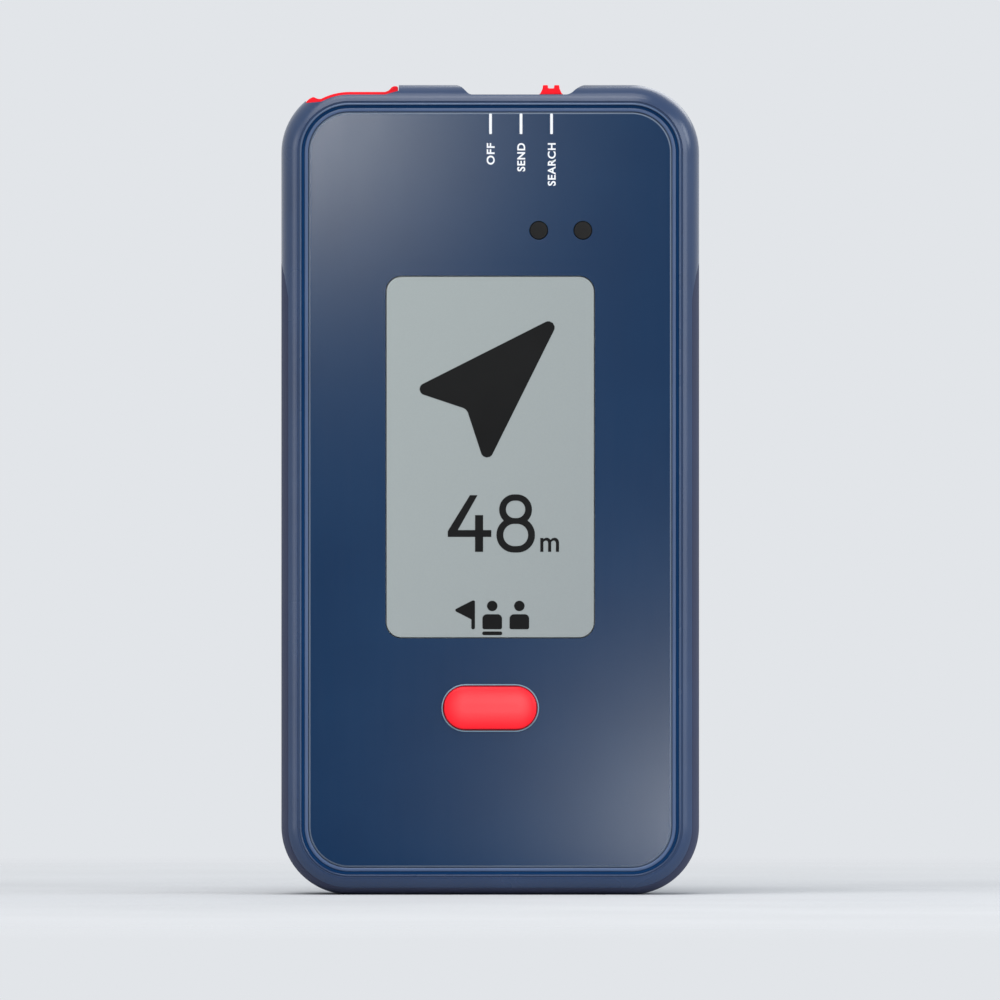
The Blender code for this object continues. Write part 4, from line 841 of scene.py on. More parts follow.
rear_places = [(0.0, REAR_SEAM)] + arc(*REAR_ROUND, start=180, end=270, steps=14)
rear_shell = cup("rear_shell_skin", rear_places, [(WALL, REAR_SEAM), (WALL, BACK_WALL)])
unite(
    rear_shell,
    box("ledge", (-20.85, 8.4, 3.7), (20.85, 11.4, 77.8)),
    box("bay_walls", (-18.05, -1.8, 10.8), (18.05, 9.3, 63.4)),
    box("lock_box", (-9.6, 7.2, 63.0), (9.6, 11.4, 77.8)),
)
for boss_x, boss_z in BOSSES:
    unite(rear_shell, rod("column", "Y", (boss_x, REAR_SEAM, boss_z), length=6.6, radius=3.4))
    cut(rear_shell, turned("sunk_hole", "Y", (boss_x, INNER_FLOOR, boss_z), SUNK, steps=32))
cut(rear_shell, slider_recess(), shoulder_recess(), band_seat())
print("rear shell from", round(REAR_SEAM, 2), "to", round(BACK, 2), "mm")

# %% [markdown]
# ## The rear shell's openings
# The bay holds three cells, and the door closes it. Its space, the lock's, the door's seat, the hinge's
# pocket and the hole for the pin are cut in turn. The seal's groove could be a ring, but it isn't
# parallel to the case's outline, so it is a plate with its core cut out. Five slots let the speaker be
# heard.

# %% Rear shell openings
LEDGE = 10.2
GRILLE_Z = 83.2
GRILLE_PITCH = 2.6
HINGE = (10.9, 7.6)

cut(
    rear_shell,
    box("bay", (-16.85, -0.6, 12.0), (16.85, DEEP, 62.2)),
    box("lock_space", (-8.4, 8.4, 64.2), (8.4, BACK_WALL, 76.6)),
    plate("door_space", 39.3, 63.8, 3.0, 0, 41.5, LEDGE, DEEP),
    box("hinge_space", (-14.3, 9.2, 5.4), (14.3, DEEP, 10.1)),
    rod("pin_hole", "X", (-16.8, *HINGE), length=33.6, radius=0.75, steps=20),
)
seal_groove = plate("door_groove", 36.4, 52.9, 2.15, 0, 37.1, 9.25, BACK_WALL)
cut(seal_groove, plate("groove_core", 34.2, 50.7, 1.05, 0, 37.1, 0, DEEP))
cut(rear_shell, seal_groove)
for slot in range(5):
    cut(rear_shell, plate("grille", 11.0, 1.2, 0.6, -6.0, GRILLE_Z + GRILLE_PITCH * slot, LEDGE, DEEP))
dress(rear_shell, "shell", "case", "shell_plastic", "rear_shell")

# %% [markdown]
# ## The rim and the front panel
# A thin rim with a low crown stands between the shell's groove and the panel, and a fine gap parts it
# from the panel. Its section is half a flat ellipse, so it is a ring again, and a navy lining fills the
# groove. The panel is a sheet with openings for the display, the lamps and the button. Its small chamfer
# is polished, and its pale second material slot is a painted highlight: that is the bright line at its
# edge.

# %% Rim and panel
RIM_MIDDLE = 3.86
RIM_RADIUS = 0.28
RIM_CROWN = 0.14
RIM_SPRING = -11.26
GROOVE_FLOOR = -11.2
GAP_FLOOR = -10.8
LINING = (3.15, 3.56)
PANEL_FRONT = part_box("front_panel")[0].y / MM
PANEL_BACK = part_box("front_panel")[1].y / MM
PANEL_INSET = 4.27
PANEL_CUT = (-14, -9)
CHAMFER = 0.22

gap_end = PANEL_INSET - 0.02
rim_places = [(RIM_MIDDLE - RIM_RADIUS, PANEL_BACK)]
rim_places += arc((RIM_MIDDLE, RIM_SPRING), (RIM_RADIUS, RIM_CROWN), start=180, end=0, steps=12)
rim_places += [(RIM_MIDDLE + RIM_RADIUS, GAP_FLOOR), (gap_end, GAP_FLOOR), (gap_end, PANEL_BACK)]
panel_rim = ring("panel_rim_bead", rim_places)
dress(panel_rim, "rim", "case", "shell_plastic", "panel_rim")

groove_places = [(LINING[0], PANEL_BACK), (LINING[0], GROOVE_FLOOR)]
groove_places += [(LINING[1], GROOVE_FLOOR), (LINING[1], PANEL_BACK)]
dress(ring("groove_lining", groove_places), "groove", "case", "shell_plastic")

panel_places = [(PANEL_INSET, PANEL_BACK), (PANEL_INSET, PANEL_FRONT + CHAMFER)]
panel_places += [(PANEL_INSET + CHAMFER, PANEL_FRONT)]
panel = stepped("front_panel_sheet", case_outline(PANEL_INSET), panel_places)
cut(
    panel,
    plate("display_hole", 32.05, 55.5, 2.45, 0, DISPLAY_Z, *PANEL_CUT),
    plate("button_hole", *BUTTON_HOLE, *PANEL_CUT),
    *lamp_holes(*PANEL_CUT, radius=1.45, steps=48),
)
dress(panel, "panel", "case", "panel_gloss", "front_panel")
# The chamfer's faces take the painted highlight.
second_finish(panel, "edge", lambda face: 0.3 < -face.normal.y < 0.95)

# %% [markdown]
# ## Display and lamps
# The display's window is a matte sheet with a fine edge, set a hair below the panel. The two lamps are
# smoked rods that run back to their diodes. Their ends are slightly domed, where a plain rod would show a
# flat disc, so half the profile is drawn and spun round the axis.

# %% Display and lamps
LENS_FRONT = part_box("display_lens")[0].y / MM
LAMP_LENGTH = (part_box("status_lens_left")[1].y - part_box("status_lens_left")[0].y) / MM

lens_places = [(0, PANEL_BACK), (0, LENS_FRONT + 0.1), (0.03, LENS_FRONT + 0.03), (0.1, LENS_FRONT)]
display = stepped("display_window", (31.75, 55.2, 2.3, 0, DISPLAY_Z), lens_places)
dress(display, "display", "case", "display_window", "display_lens")

lamp_profile = [(0, 0), (0.004, 0.6), (0.015, 1.1), (0.05, 1.29), (0.12, 1.36), (0.25, 1.38)]
lamp_profile += [(LAMP_LENGTH, 1.38), (LAMP_LENGTH, 0)]
for side, (lamp_x, lamp_z) in zip(("left", "right"), LAMPS):
    lamp = turned("status_lamp_" + side, "Y", (lamp_x, PANEL_FRONT, lamp_z), lamp_profile)
    dress(lamp, "smoke", "case", "smoke_lens", "status_lens_" + side)

# %% [markdown]
# ## The red button and its trim
# The button is a pill that stands proud of the panel and swells like a cushion. A bevel would give it one
# radius, so a quarter ellipse carries its outline inward instead. Behind the panel it widens to a flange
# that keeps it in, and a stem reaches the switch. Its steep strip is painted shade: a darker red, chosen
# by how far the faces turn from the front. The pale trim ring, a painted highlight round the hole's edge,
# stays with the case while the button moves.

# %% Button and trim
BUTTON_WIDTH = 14.4
BUTTON_HEIGHT = 6.75
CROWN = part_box("action_button")[0].y / MM + 0.005
EDGE_FOOT = 0.80
EDGE_TOP = 0.47
EDGE_INSET = 0.13
CUSHION = (3.05, 0.42)
CUSHION_MIDDLE = 3.2
FLANGE = 1.0
FLANGE_CORNER = BUTTON_HEIGHT / 2 + 0.9
FLANGE_BACK = -7.4
FLANGE_FRONT = -8.2
TRIM_OUTER = 0.54
TRIM_INNER = 0.16

flange = (BUTTON_WIDTH + 2 * FLANGE, BUTTON_HEIGHT + 2 * FLANGE, FLANGE_CORNER, 0, BUTTON_Z)
button_places = [(-FLANGE, FLANGE_BACK), (-FLANGE, FLANGE_FRONT), (0.0, FLANGE_FRONT)]
button_places += [(0.0, CROWN + EDGE_FOOT), (EDGE_INSET, CROWN + EDGE_TOP)]
button_places += arc((CUSHION_MIDDLE, CROWN + CUSHION[1]), CUSHION, start=180, end=98, steps=14)
action_button = stepped("action_button_cap", flange, button_places)
unite(action_button, rod("stem", "Y", (0, FLANGE_FRONT, BUTTON_Z), length=1.35, radius=1.6))
dress(action_button, "red", "action_button", "red_plastic", "action_button")
# Painted shade on the button's steep strip.
second_finish(action_button, "red_painted_shade", lambda face: 0.2 < -face.normal.y < 0.6)

# A pale ring round the button's hole; its pale tone is a painted highlight of the hole's edge.
ring_size = (BUTTON_WIDTH + TRIM_OUTER, BUTTON_HEIGHT + TRIM_OUTER, 3.64)
hole_size = (BUTTON_WIDTH + TRIM_INNER, BUTTON_HEIGHT + TRIM_INNER, 3.45)
trim_ring = plate("button_trim_painted_highlight", *ring_size, 0, BUTTON_Z, PANEL_FRONT - 0.03, -10.4)
cut(trim_ring, plate("trim_hole", *hole_size, 0, BUTTON_Z, *PANEL_CUT))
soften(trim_ring, width=0.05, angle=60, segments=2)
dress(trim_ring, "trim", "case", "shell_plastic")

# %% [markdown]
# ## The red slider
# From the front the slider is a little saddle: flanks that flare at the foot, and two grip ridges with a
# valley between. It is the same from front to back, so its outline is drawn once and run through the
# depth, which is simpler than shaping a block. Its edges are softened, and a stem reaches through the
# slot to the carriage.

# %% Mode slider
SLIDER_X = 9.32
CONTROL = (-7.0, 2.0)

half_outline = [(1.82, RECESS_FLOOR + 0.06), (1.59, RECESS_FLOOR + 0.34), (1.31, TOP - 0.55), (1.24, TOP)]
half_outline += [(0.49, TOP), (0.44, TOP - 0.49)]
outline = [(SLIDER_X + x, z) for x, z in half_outline]
outline += [(SLIDER_X - x, z) for x, z in half_outline[::-1]]
slider = prism("mode_slider_cap", outline, *CONTROL)
soften(slider, width=0.11, angle=40)
unite(slider, box("stem", (SLIDER_X - 0.9, -5.2, 118.4), (SLIDER_X + 0.9, -3.0, RECESS_FLOOR + 0.5)))
dress(slider, "red", "mode_slider", "red_plastic", "mode_slider")

# %% [markdown]
# ## The red shoulder button
# A thin red strip follows the round left shoulder, with a raised lip at each end. It could be cut from a
# ring, but only one corner is needed. So a plain corner is bevelled to the shoulder's radius, and what is
# too far left and too low is sliced off. The lips are small prisms, a flange keeps the button in its
# port, and a seat below holds the return spring.

# %% Shoulder button
SHOULDER_LEFT = SHOULDER_SPAN[0] + 0.3
SHOULDER_RIGHT = SHOULDER_SPAN[1] - 0.3
SHOULDER_LOW = 118.55
STRIP_INSET = 1.05
WELL_BELOW = 100

side_x = STRIP_INSET - CASE_WIDTH / 2
strip_top = TOP - STRIP_INSET
corner = [(SHOULDER_RIGHT, strip_top), (side_x, strip_top)]
corner += [(side_x, WELL_BELOW), (SHOULDER_RIGHT, WELL_BELOW)]
shoulder_round = ((1, CASE_CORNER - STRIP_INSET),)
shoulder = prism("shoulder_button_cap", corner, *CONTROL, rounding=shoulder_round, segments=24)
trim(shoulder, (SHOULDER_LEFT, 0, 0), (-1, 0, 0))
trim(shoulder, (0, 0, SHOULDER_LOW), (0, 0, -1))
right_lip = [(-16.10, 122.60), (-16.10, 122.96), (-15.55, 123.16), (-15.08, 123.70), (-14.70, 123.84)]
right_lip += [(-14.15, 123.80), (-14.15, 122.60)]
left_lip = [(-25.30, 121.20), (-25.30, 121.90), (-26.43, 121.88), (-27.10, 122.20), (-27.65, 121.95)]
left_lip += [(-28.22, 121.45), (-28.22, 120.90), (-27.20, 120.60)]
unite(
    shoulder,
    prism("right_lip", right_lip, *CONTROL, rounding=((2, 0.2), (3, 0.15), (5, 0.2))),
    prism("left_lip", left_lip, *CONTROL, rounding=((2, 0.25), (3, 0.2), (4, 0.25), (5, 0.2))),
    box("flange", (-21.6, -8.0, 119.2), (SHOULDER_RIGHT - 0.3, 3.0, 120.3)),
)
cut(shoulder, rod("spring_seat", "Z", (-17.6, -1.4, 117.0), length=2.15, radius=2.3))
dress(shoulder, "red", "shoulder_button", "red_plastic", "shoulder_button")

# %% [markdown]
# ## The battery door
# The door is a thin plate hung on a pin at its lower edge. Its back has a soft edge and a shallow frame
# line, which a stepped outline gives in one go. Five grip ribs and a stepped hole for the lock are cut,
# and the hinge barrel is a rod joined under the plate.

# %% Battery door
LOCK_BASE = 8.7
LOCK_Z = 68.2
RIB_Z = 50.5
RIB_PITCH = 2.0
LINE_DEPTH = 0.25

door_places = [(0, BACK_WALL), (0, BACK - 0.3), (0.09, BACK - 0.09), (0.3, BACK), (2.0, BACK)]
door_places += [(2.15, BACK - LINE_DEPTH), (2.55, BACK - LINE_DEPTH), (2.7, BACK)]
door = stepped("battery_door_plate", (38.7, 62.5, 3.0, 0, 41.85), door_places)
unite(
    door,
    box("neck", (-14, BACK_WALL, HINGE[1]), (14, BACK, 11.2)),
    rod("barrel", "X", (-14, *HINGE), length=28, radius=1.4, steps=40),
)
lock_hole = [(0, 0), (0, 2.3), (2.4, 2.3), (2.4, 4.3), (9, 4.3), (9, 0)]
cut(
    door,
    rod("pin_bore", "X", (-20, *HINGE), length=40, radius=0.9, steps=24),
    turned("lock_hole", "Y", (0, LOCK_BASE, LOCK_Z), lock_hole),
)
for rib in range(5):
    rib_z = RIB_Z + RIB_PITCH * rib
    cut(door, plate("grip_rib", 14 + 1.6 * rib, 0.9, 0.44, 0, rib_z, BACK - 0.35, BACK + 2))
dress(door, "shell", "battery_door", "shell_plastic", "battery_door")

# %% [markdown]
# ## The door's lock
# A coin turns this lock by a quarter. It is turned from one profile: a shaft, then a flat head with a
# soft edge, sunk a little below the door's face so that it can't catch. The slot for the coin is a plate
# cut across it.

# %% Door lock
lock_top = BACK - 0.2 - LOCK_BASE
lock_profile = [(0, 0), (0, 2.0), (lock_top - 0.7, 2.0), (lock_top - 0.7, 4.0), (lock_top - 0.15, 4.0)]
lock_profile += [(lock_top - 0.04, 3.95), (lock_top, 3.8), (lock_top, 0)]
lock = turned("door_lock_head", "Y", (0, LOCK_BASE, LOCK_Z), lock_profile, steps=64)
cut(lock, plate("coin_slot", 1.3, 6.4, 0.6, 0, LOCK_Z, BACK - 0.6, BACK + 2))
soften(lock, width=0.05, angle=60, segments=2)
dress(lock, "black", "door_lock", "black_plastic", "door_lock")

# %% [markdown]
# ## Screws
# Four screws hold the shells together, with a six-lobed drive that no spun profile can give. So each is
# turned first, and then a rod for the middle of the recess and six small rods round it are cut out, one
# after another.

# %% Case screws
SCREW_HEAD = BACK - 0.5
SCREW_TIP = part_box("case_screw_1")[0].y / MM
DRIVE_FLOOR = SCREW_HEAD - 0.8
LOBE_REACH = 0.82

end = SCREW_HEAD - SCREW_TIP
screw_profile = [(0, 0), (0.5, 0.7), (0.9, 1.1), (end - 1.4, 1.1), (end - 1.4, 2.0), (end - 1.2, 2.2)]
screw_profile += [(end - 0.4, 2.2), (end - 0.1, 2.0), (end, 1.6), (end, 0)]
for number, (boss_x, boss_z) in enumerate(BOSSES, 1):
    screw = turned("case_screw_%d_head" % number, "Y", (boss_x, SCREW_TIP, boss_z), screw_profile, steps=40)
    cut(screw, rod("drive", "Y", (boss_x, DRIVE_FLOOR, boss_z), length=2, radius=0.78, steps=24))
    for lobe in range(6):
        turn = math.radians(60 * lobe)
        lobe_x = boss_x + LOBE_REACH * math.cos(turn)
        lobe_z = boss_z + LOBE_REACH * math.sin(turn)
        cut(screw, rod("lobe", "Y", (lobe_x, DRIVE_FLOOR, lobe_z), length=2, radius=0.26, steps=12))
    dress(screw, "steel", "case", "steel", "case_screw_%d" % number)

# %% [markdown]
# ## Cells
# Three common cells fill the bay. They could stay plain rods, but the open door shows their rolled ends
# and contact nubs, so they are turned too. The cells are wired in a row, and the middle one stands the
# other way: its profile is read backward.

# %% Battery cells
CELL_Y = 4.95
CELL_RADIUS = 5.25
TURNED_CELL = 2

for number in range(1, 4):
    low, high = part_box("battery_cell_%d" % number)
    end = (high.z - low.z) / MM
    profile = [(0, 0), (0, 4.6), (0.15, 5.0), (0.5, CELL_RADIUS), (end - 1.3, CELL_RADIUS)]
    profile += [(end - 0.95, 5.0), (end - 0.8, 4.6), (end - 0.8, 1.9), (end - 0.12, 1.9), (end, 1.75)]
    profile += [(end, 0)]
    wrapper = "cell"
    if number == TURNED_CELL:
        profile = [(end - place, radius) for place, radius in profile[::-1]]
        wrapper = "cell_turned"
    cell = turned("cell_%d" % number, "Z", ((low.x + high.x) / 2 / MM, CELL_Y, low.z / MM), profile)
    dress(cell, wrapper, "case", "cell", "battery_cell_%d" % number)

# %% [markdown]
# ## Lettering
# Words are printed on the panel in thin white ink. A painted texture would blur at their edges, and a
# text object is no mesh. So a text curve is made a flat mesh, turned upright, sized to fill its place,
# and extruded by the thickness of ink.

# %% Lettering
INK = 0.02


def fit(bm, low, high):
    """Move and size a flat shape to fill a rectangle from low to high, (x, z) in mm."""
    xs = [vert.co.x for vert in bm.verts]
    zs = [vert.co.z for vert in bm.verts]
    bmesh.ops.translate(bm, vec=(-min(xs), 0, -min(zs)), verts=bm.verts)
    wide = (high[0] - low[0]) * MM / (max(xs) - min(xs))
    tall = (high[1] - low[1]) * MM / (max(zs) - min(zs))
    bmesh.ops.scale(bm, vec=(wide, 1, tall), verts=bm.verts)
    bmesh.ops.translate(bm, vec=(low[0] * MM, 0, low[1] * MM), verts=bm.verts)


def lettering(name, word, low, high, back, upward=False, weight=0.0, spacing=1.0):
    """A word as a thin plate of ink that fills a rectangle."""
    curve = bpy.data.curves.new(name, "FONT")
    curve.body = word
    curve.offset = weight
    curve.space_character = spacing
    curve.resolution_u = 6
    text = bpy.data.objects.new(name, curve)
    bpy.context.scene.collection.objects.link(text)
    bpy.context.view_layer.update()
    flat = bpy.data.meshes.new_from_object(text.evaluated_get(bpy.context.evaluated_depsgraph_get()))
    bpy.data.objects.remove(text, do_unlink=True)
    bm = bmesh.new()
    bm.from_mesh(flat)
    turn = Matrix.Rotation(math.radians(90), 4, "X")
    if upward:
        turn = turn @ Matrix.Rotation(math.radians(90), 4, "Z")
    bmesh.ops.transform(bm, matrix=turn, verts=bm.verts)
    fit(bm, low, high)
    bmesh.ops.remove_doubles(bm, verts=bm.verts, dist=MERGE_DISTANCE)
    bmesh.ops.dissolve_limit(bm, angle_limit=math.radians(1), verts=bm.verts, edges=bm.edges)
    bmesh.ops.translate(bm, vec=(0, back * MM, 0), verts=bm.verts)
    lifted = bmesh.ops.extrude_face_region(bm, geom=bm.faces[:], use_keep_orig=True)["geom"]
    raised = [item for item in lifted if isinstance(item, bmesh.types.BMVert)]
    bmesh.ops.translate(bm, vec=(0, -INK * MM, 0), verts=raised)
    return to_piece(bm, name)


print("ink is", INK, "mm thick")

# %% [markdown]
# ## Ticks and words
# Three white ticks at the top of the panel show the slider's places, and a word under each says what it
# does. All of them are joined to one mesh, because they are one print.

# %% Ticks and words
TICKS = (0.04, 4.71, 9.38)
TICK_Z = 118.0
WORDS = (("OFF", 111.75), ("SEND", 110.72), ("SEARCH", 108.52))
WORD_TOP = 115.05
WORD_SHIFT = 0.03
CAP_HEIGHT = 1.24


def join(name, pieces):
    """One mesh from several separate pieces."""
    bm = bmesh.new()
    for piece in pieces:
        bm.from_mesh(piece.data)
        bpy.data.objects.remove(piece, do_unlink=True)
    return to_piece(bm, name)


marks = []
for tick_x, (word, word_low) in zip(TICKS, WORDS):
    marks.append(plate("tick", 0.42, 3.14, 0.12, tick_x, TICK_Z, PANEL_FRONT - INK, PANEL_FRONT))
    low = (tick_x - CAP_HEIGHT / 2 + WORD_SHIFT, word_low)
    high = (tick_x + CAP_HEIGHT / 2 + WORD_SHIFT, WORD_TOP)
    marks.append(lettering(word.lower(), word, low, high, PANEL_FRONT, upward=True, weight=0.026,
                           spacing=1.12))
panel_marks = join("panel_marks", marks)
dress(panel_marks, "print", "case", "white_plastic")

# %% [markdown]
# ## True round corners
# The display draws its signs with evenly rounded corners. At a narrow corner a bevel makes a curve that
# isn't part of a circle. So these few corners are drawn by their points: the centre of each arc lies on
# the line that halves the corner, where the arc touches both sides.

# %% True round corners


def blunt(corners, radii, steps=8):
    """An outline with each (x, z) corner replaced by a true arc of its radius."""
    points = []
    for index, radius in enumerate(radii):
        corner = Vector(corners[index])
        before = (Vector(corners[index - 1]) - corner).normalized()
        after = (Vector(corners[(index + 1) % len(corners)]) - corner).normalized()
        half = before.angle(after) / 2
        centre = corner + (before + after).normalized() * (radius / math.sin(half))
        reach = radius / math.tan(half)
        first = corner + before * reach - centre
        last = corner + after * reach - centre
        for count in range(steps + 1):
            points.append(centre + first.lerp(last, count / steps).normalized() * radius)
    return points


print("a blunt corner has", len(blunt(((0, 0), (2, 0), (0, 2)), (0.1,))), "points")

# %% [markdown]
# ## What the display shows
# The picture on the display is an arrow that points the way, a distance in metres and a row of signs. A
# material could paint it, but crisp edges need geometry, so each sign is a dark shape two hundredths of a
# millimetre thick. The eight is two discs joined and cut by two smaller ones, and the corners of the
# figures' bodies are bevelled.

# %% Display picture
SHOWN_FRONT = LENS_FRONT - INK
SHOWN = (SHOWN_FRONT, LENS_FRONT)
ARROW = ((11.04, 88.98), (-12.25, 77.23), (-3.59, 74.33), (-0.67, 65.41))
ARROW_RADII = (0.95, 0.90, 1.3, 0.93)
FOUR = ((-3.10, 61.17), (-1.94, 61.17), (-4.96, 55.83), (-2.32, 55.83), (-2.32, 58.12), (-1.09, 58.12))
FOUR += ((-1.09, 55.83), (0.17, 55.83), (0.17, 54.78), (-1.09, 54.78), (-1.09, 52.50), (-2.32, 52.50))
FOUR += ((-2.32, 54.78), (-6.50, 54.78), (-6.50, 55.66))
FLAG = ((-5.64, 43.57), (-2.72, 45.06), (-2.34, 45.06), (-2.34, 40.65), (-2.89, 40.65), (-2.89, 42.16))
FLAG_RADII = (0.25, 0.35, 0.2, 0.25, 0.25, 0.05)
FIGURES = (0.306, 4.456)
FIGURE_HALF = 1.5
HEAD_Z = 44.22
BODY_TOP = 42.95
BODY_FOOT = 40.65
FIGURE_ROUNDING = ((0, 0.68), (1, 0.68), (2, 0.3), (3, 0.3))

signs = [
    prism("arrow", blunt(ARROW, ARROW_RADII), *SHOWN),
    prism("four", FOUR, *SHOWN),
    prism("flag", blunt(FLAG, FLAG_RADII), *SHOWN),
    lettering("metres", "m", (7.66, 52.50), (10.53, 54.66), LENS_FRONT, weight=0.012),
    plate("underline", 3.06, 0.56, 0.27, FIGURES[0], 40.03, *SHOWN),
]
eight = plate("eight", 5.02, 4.70, 2.32, 3.88, 58.95, *SHOWN)
unite(eight, plate("lower_disc", 5.90, 5.38, 2.66, 3.90, 55.08, *SHOWN))
cut(eight, plate("upper_hole", 2.95, 2.67, 1.31, 3.88, 59.0, *PANEL_CUT))
cut(eight, plate("lower_hole", 3.80, 3.40, 1.67, 3.90, 55.08, *PANEL_CUT))
signs.append(eight)
for figure_x in FIGURES:
    head_place = (figure_x, SHOWN_FRONT, HEAD_Z)
    signs.append(rod("head", "Y", head_place, length=LENS_FRONT - SHOWN_FRONT, radius=0.8, steps=40))
    left = figure_x - FIGURE_HALF
    right = figure_x + FIGURE_HALF
    shoulders = [(left, BODY_TOP), (right, BODY_TOP), (right, BODY_FOOT), (left, BODY_FOOT)]
    signs.append(prism("body", shoulders, *SHOWN, rounding=FIGURE_ROUNDING))
display_picture = join("display_picture", signs)
dress(display_picture, "ink", "case", "display_window")

# %% [markdown]
# ## Finishes for the inner solids
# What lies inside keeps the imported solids' own shapes, which are right as they are. Each only gets its
# finish: ferrite and copper for the antennas, lacquer for the board, steel for springs and plates. A
# table by the start of a name is shorter than a line for each solid.

# %% Inner finishes
INNER = {
    "seal": ("case_seal", "lcd_strip", "door_seal"),
    "glass": ("lcd_glass",),
    "white": ("lcd_frame", "backlight"),
    "led": ("status_led",),
    "black": ("action_switch", "slider_carriage", "hall_sensor", "shoulder_switch", "microcontroller",
              "speaker"),
    "steel": ("slider_magnet", "slider_leaf", "shoulder_spring", "board_screw", "rf_shield",
              "battery_spring", "battery_plate", "hinge_pin", "lock_cam"),
    "board": ("main_board",),
    "ferrite": ("long_rod", "cross_rod", "third_core"),
    "wire_z": ("long_coil",),
    "wire_x": ("cross_coil", "third_coil"),
}
finished = 0
for finish, starts in INNER.items():
    for node_name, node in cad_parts.items():
        if node_name.startswith(starts):
            node.data.materials.clear()
            node.data.materials.append(finishes[finish])
            finished += 1
print("inner solids finished:", finished)

# %% [markdown]
# ## Floor and surround
# The part stands on a plain pale floor in an equally pale surround. A curved backdrop would hide the
# horizon too, but it would block the light from behind, so the floor just fades out with distance. The
# surround has two strengths: the camera and reflections see the pale tone itself, and all other light
# from it is weaker and a little cool.

# %% Floor and surround
FLOOR_RADIUS = 0.5
FADE = (0.10, 0.42)
COOL = (0.90, 0.95, 1.0)

shader, place = new_finish("floor", "pale_floor")
far = add_node(place, "ShaderNodeVectorMath", operation="LENGTH", Vector=place)
colour = two_tone(noise(place, scale=14.0, detail=3.0), (214, 215, 217), (220, 221, 223))
feed(shader, Base_Color=colour, Roughness=0.9, Specular_IOR_Level=0.0)
feed(shader, Alpha=remap(far.outputs["Value"], 1.0, 0.0, *FADE))
floor_bm = bmesh.new()
bmesh.ops.create_circle(floor_bm, cap_ends=True, radius=FLOOR_RADIUS, segments=96)
floor = to_piece(floor_bm, "pale_floor")
floor.data.materials.append(finishes["floor"])

world = bpy.data.worlds.new("soft_surround")
bpy.context.scene.world = world
world.use_nodes = True
pale = feed(world.node_tree.nodes["Background"], Color=srgb(226, 229, 233))
weak = add_node(pale, "ShaderNodeBackground", Strength=0.42, Color=(*COOL, 1.0))
rays = add_node(pale, "ShaderNodeLightPath").outputs
sees_pale = rays["Is Camera Ray"]
for kind in ("Is Glossy Ray", "Is Transmission Ray"):
    either = add_node(pale, "ShaderNodeMath", operation="MAXIMUM", Value=sees_pale)
    wire(rays[kind], either.inputs[1])
    sees_pale = either.outputs["Value"]
blend = add_node(pale, "ShaderNodeMixShader", Fac=sees_pale)
for number, light in enumerate((weak, pale), 1):
    wire(light.outputs["Background"], blend.inputs[number])
feed(world.node_tree.nodes["World Output"], Surface=blend.outputs["Shader"])
print("floor and surround ready")

# %% [markdown]
# ## Lamp helpers
# Studio light is soft because its sources are large, so every lamp is a square area lamp. Some highlights
# should fall on one piece only: light linking limits a lamp to a collection of pieces, and a lamp that
# diffuse light doesn't see adds gloss without brightening the colour. Such a lamp is called a card here.

# %% Lamp helpers
WHITE = (1.0, 1.0, 1.0)


def soft_lamp(name, place, aim, size, energy, colour=WHITE):
    """A square soft lamp turned toward a point, hidden from the camera."""
    data = bpy.data.lights.new(name, "AREA")
    data.size = size
    data.energy = energy
    data.color = colour
    lamp = bpy.data.objects.new(name, data)
    lamp.location = place
    lamp.rotation_euler = (Vector(aim) - Vector(place)).to_track_quat("-Z", "Y").to_euler()
    lamp.visible_camera = False
    bpy.context.scene.collection.objects.link(lamp)
    return lamp


def only(name, *pieces):
    """A collection of the pieces that a lamp may light."""
    lit = bpy.data.collections.new(name)
    for piece in pieces:
        lit.objects.link(piece)
    return lit


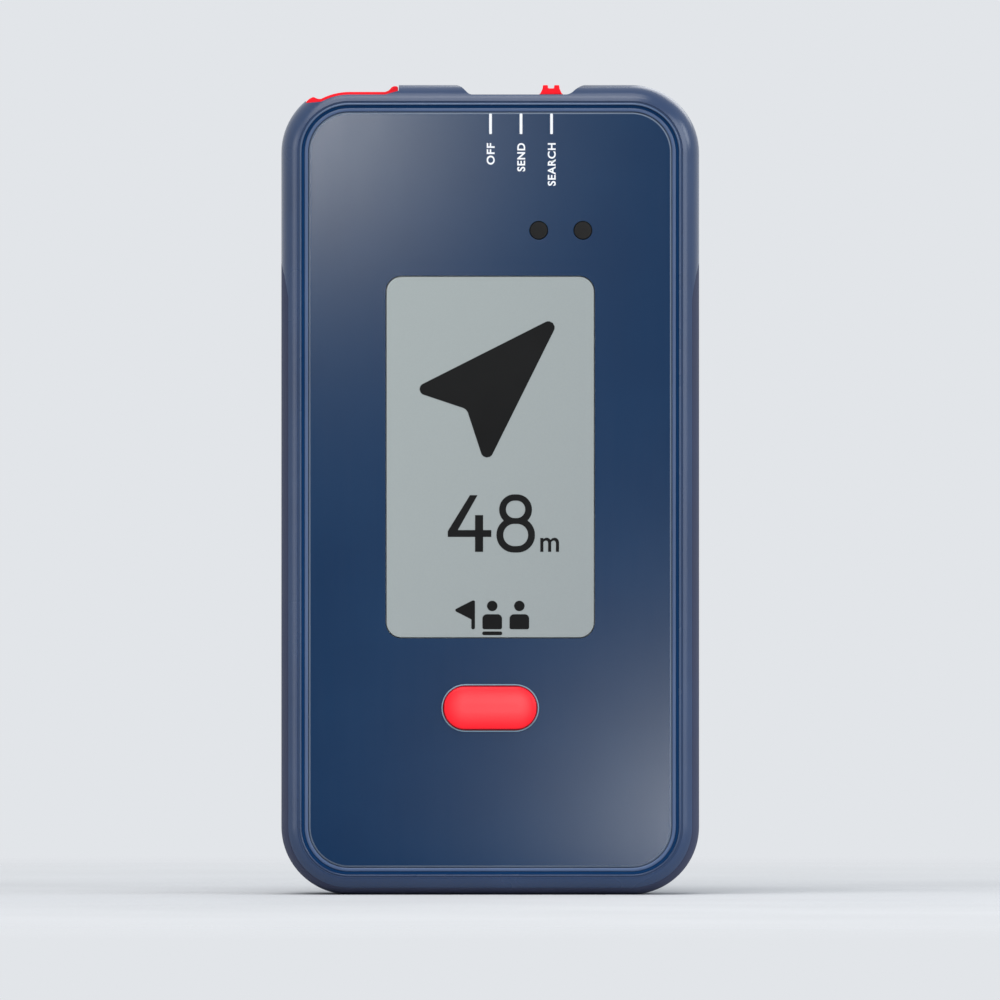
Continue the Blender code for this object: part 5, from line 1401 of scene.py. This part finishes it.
def card(name, lit, place, aim, size, energy):
    """A lamp that lights the gloss of some pieces only."""
    lamp = soft_lamp(name, place, aim, size, energy)
    lamp.visible_diffuse = False
    lamp.light_linking.receiver_collection = lit


print("lamp helpers ready")

# %% [markdown]
# ## Studio lamps
# A wide lamp above the front, one from each side, one at the right corner, one on top and one behind give
# plain studio light. The panel shows two cards, blurred, in its upper left and lower right corners, the
# button shows one on its crown, and the shell one along each side. The last lamp lifts the red of the
# three red pieces, without gloss.

# %% Studio lamps
MIDDLE = (0.0, 0.0, 0.06)
LEFT_PLACE = (-1.3, -0.9, 0.3)
RIGHT_PLACE = (1.2, -1.1, 0.5)
CARD_Y = -0.35

soft_lamp("key_lamp", (-0.35, -0.95, 1.25), MIDDLE, size=1.2, energy=12.5)
soft_lamp("right_lamp", RIGHT_PLACE, MIDDLE, size=0.9, energy=8.5, colour=COOL)
soft_lamp("corner_lamp", (1.25, -0.25, 0.55), MIDDLE, size=0.5, energy=4.0, colour=COOL)
soft_lamp("left_lamp", LEFT_PLACE, MIDDLE, size=0.6, energy=1.6)
soft_lamp("top_lamp", (0.0, -0.4, 1.45), MIDDLE, size=0.8, energy=4.0)
soft_lamp("back_lamp", (0.5, 1.4, 0.9), MIDDLE, size=0.9, energy=4.0)
panel_only = only("panel_only", panel)
button_only = only("button_only", action_button)
shell_only = only("shell_only", front_shell)
front_cards = (
    ("upper_left_card", panel_only, (-0.034, 0.128), 0.02, 0.50),
    ("lower_right_card", panel_only, (0.045, -0.006), 0.02, 1.0),
    ("button_card", button_only, (0.015, 0.050), 0.06, 0.40),
)
for name, lit, (card_x, card_z), size, energy in front_cards:
    card(name, lit, (card_x, CARD_Y, card_z), (card_x, 0.0, card_z), size, energy)
card("left_card", shell_only, LEFT_PLACE, MIDDLE, size=0.6, energy=4.5)
card("right_card", shell_only, RIGHT_PLACE, MIDDLE, size=0.5, energy=2.0)
red_lamp = soft_lamp("red_lamp", (0.1, -0.9, 0.45), MIDDLE, size=0.5, energy=2.6)
red_lamp.visible_glossy = False
red_lamp.light_linking.receiver_collection = only("red_only", action_button, slider, shoulder)
